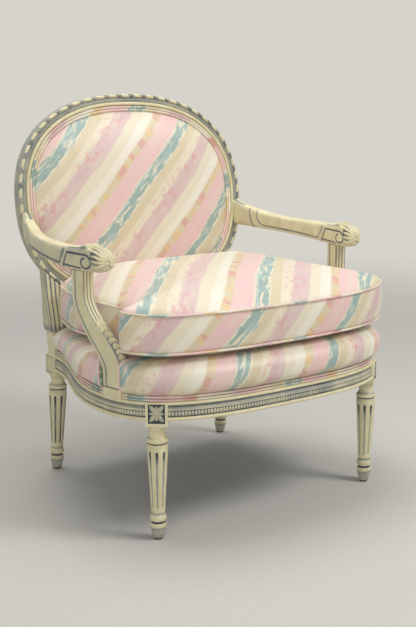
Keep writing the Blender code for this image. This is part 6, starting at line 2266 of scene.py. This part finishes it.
def flat_sheet(name, node_name, ring_at, thickness, finish):
    """A thin closed piece between an outline and its middle; ring_at takes a share and a depth."""
    shares = (0.02, 0.5, 1)
    rings = [ring_at(share, 0) for share in shares] + [ring_at(share, thickness) for share in shares[::-1]]
    outline = ring_at(1, 0)
    middle = sum(outline, Vector()) / len(outline)
    rise = BACK_UP if outline[0].z - min(p.z for p in outline) > 0.05 else Vector((0, 1, 0))
    bm = sweep(rings)
    lay_cloth(bm, lambda co, _: (co.x, (co - middle).dot(rise)))
    piece = finish_piece(name, bm, finish, [node_name], edge=40)


def cover_outline(points=240):
    """The rails' rebate, notched round the four leg blocks."""
    edge = RAIL_REBATE + BLOCK_CLEAR
    rear = REAR_LEG_Y + REAR_BLOCK / 2 - edge
    end = run_at_y(REAR_LEG_Y - REAR_BLOCK / 2)
    inner = REAR_LEG_X - REAR_BLOCK / 2 - BLOCK_CLEAR
    corner = REAR_LEG_Y - REAR_BLOCK / 2 - BLOCK_CLEAR
    front_half = FRONT_BLOCK / 2 + BLOCK_CLEAR
    outline = []
    for run in np.linspace(-end, end, points):
        place = inset_plan(run, edge)
        for side in SIDES:
            away = raised(place, 0) - raised(LEG_PLACE[side], 0)
            out = away.dot(LEG_NORMAL[side])
            if (away - LEG_NORMAL[side] * out).length < front_half and out > -front_half:
                place = place - LEG_NORMAL[side] * (out + front_half)
        if place.y > corner:
            place = Vector((max(-inner, min(inner, place.x)), corner, 0))
        outline.append(raised(place, 0))
    outline += [Vector((inner, corner, 0)), Vector((inner, rear, 0)), Vector((-inner, rear, 0)),
                Vector((-inner, corner, 0))]
    return outline


BURLAP_Z = DECK_TOP - DECK_PAD_THICKNESS - JOINT_GAP
COVER_Z = SEAT_WEB_Z - WEB_THICKNESS - JOINT_GAP
flat_sheet("spring_burlap", "seat_burlap", level_ring(deck_outline(BORDER_DEPTH + DECK_GAP), BURLAP_Z),
           BURLAP_THICKNESS, BURLAP)
flat_sheet("back_lining_burlap", "back_burlap",
           lambda share, depth: back_ring(BACK_WELT_INSET, share, -depth), BURLAP_THICKNESS, BURLAP)
flat_sheet("seat_dust_cover", "dust_cover", level_ring(cover_outline(), COVER_Z), COVER_THICKNESS, CAMBRIC)

# %% [markdown]
# Last, we print the box of the imported solids.

# %% Size of the solids
print("CAD box", [round(x, 4) for x in (*CAD_LOW, *CAD_HIGH)])
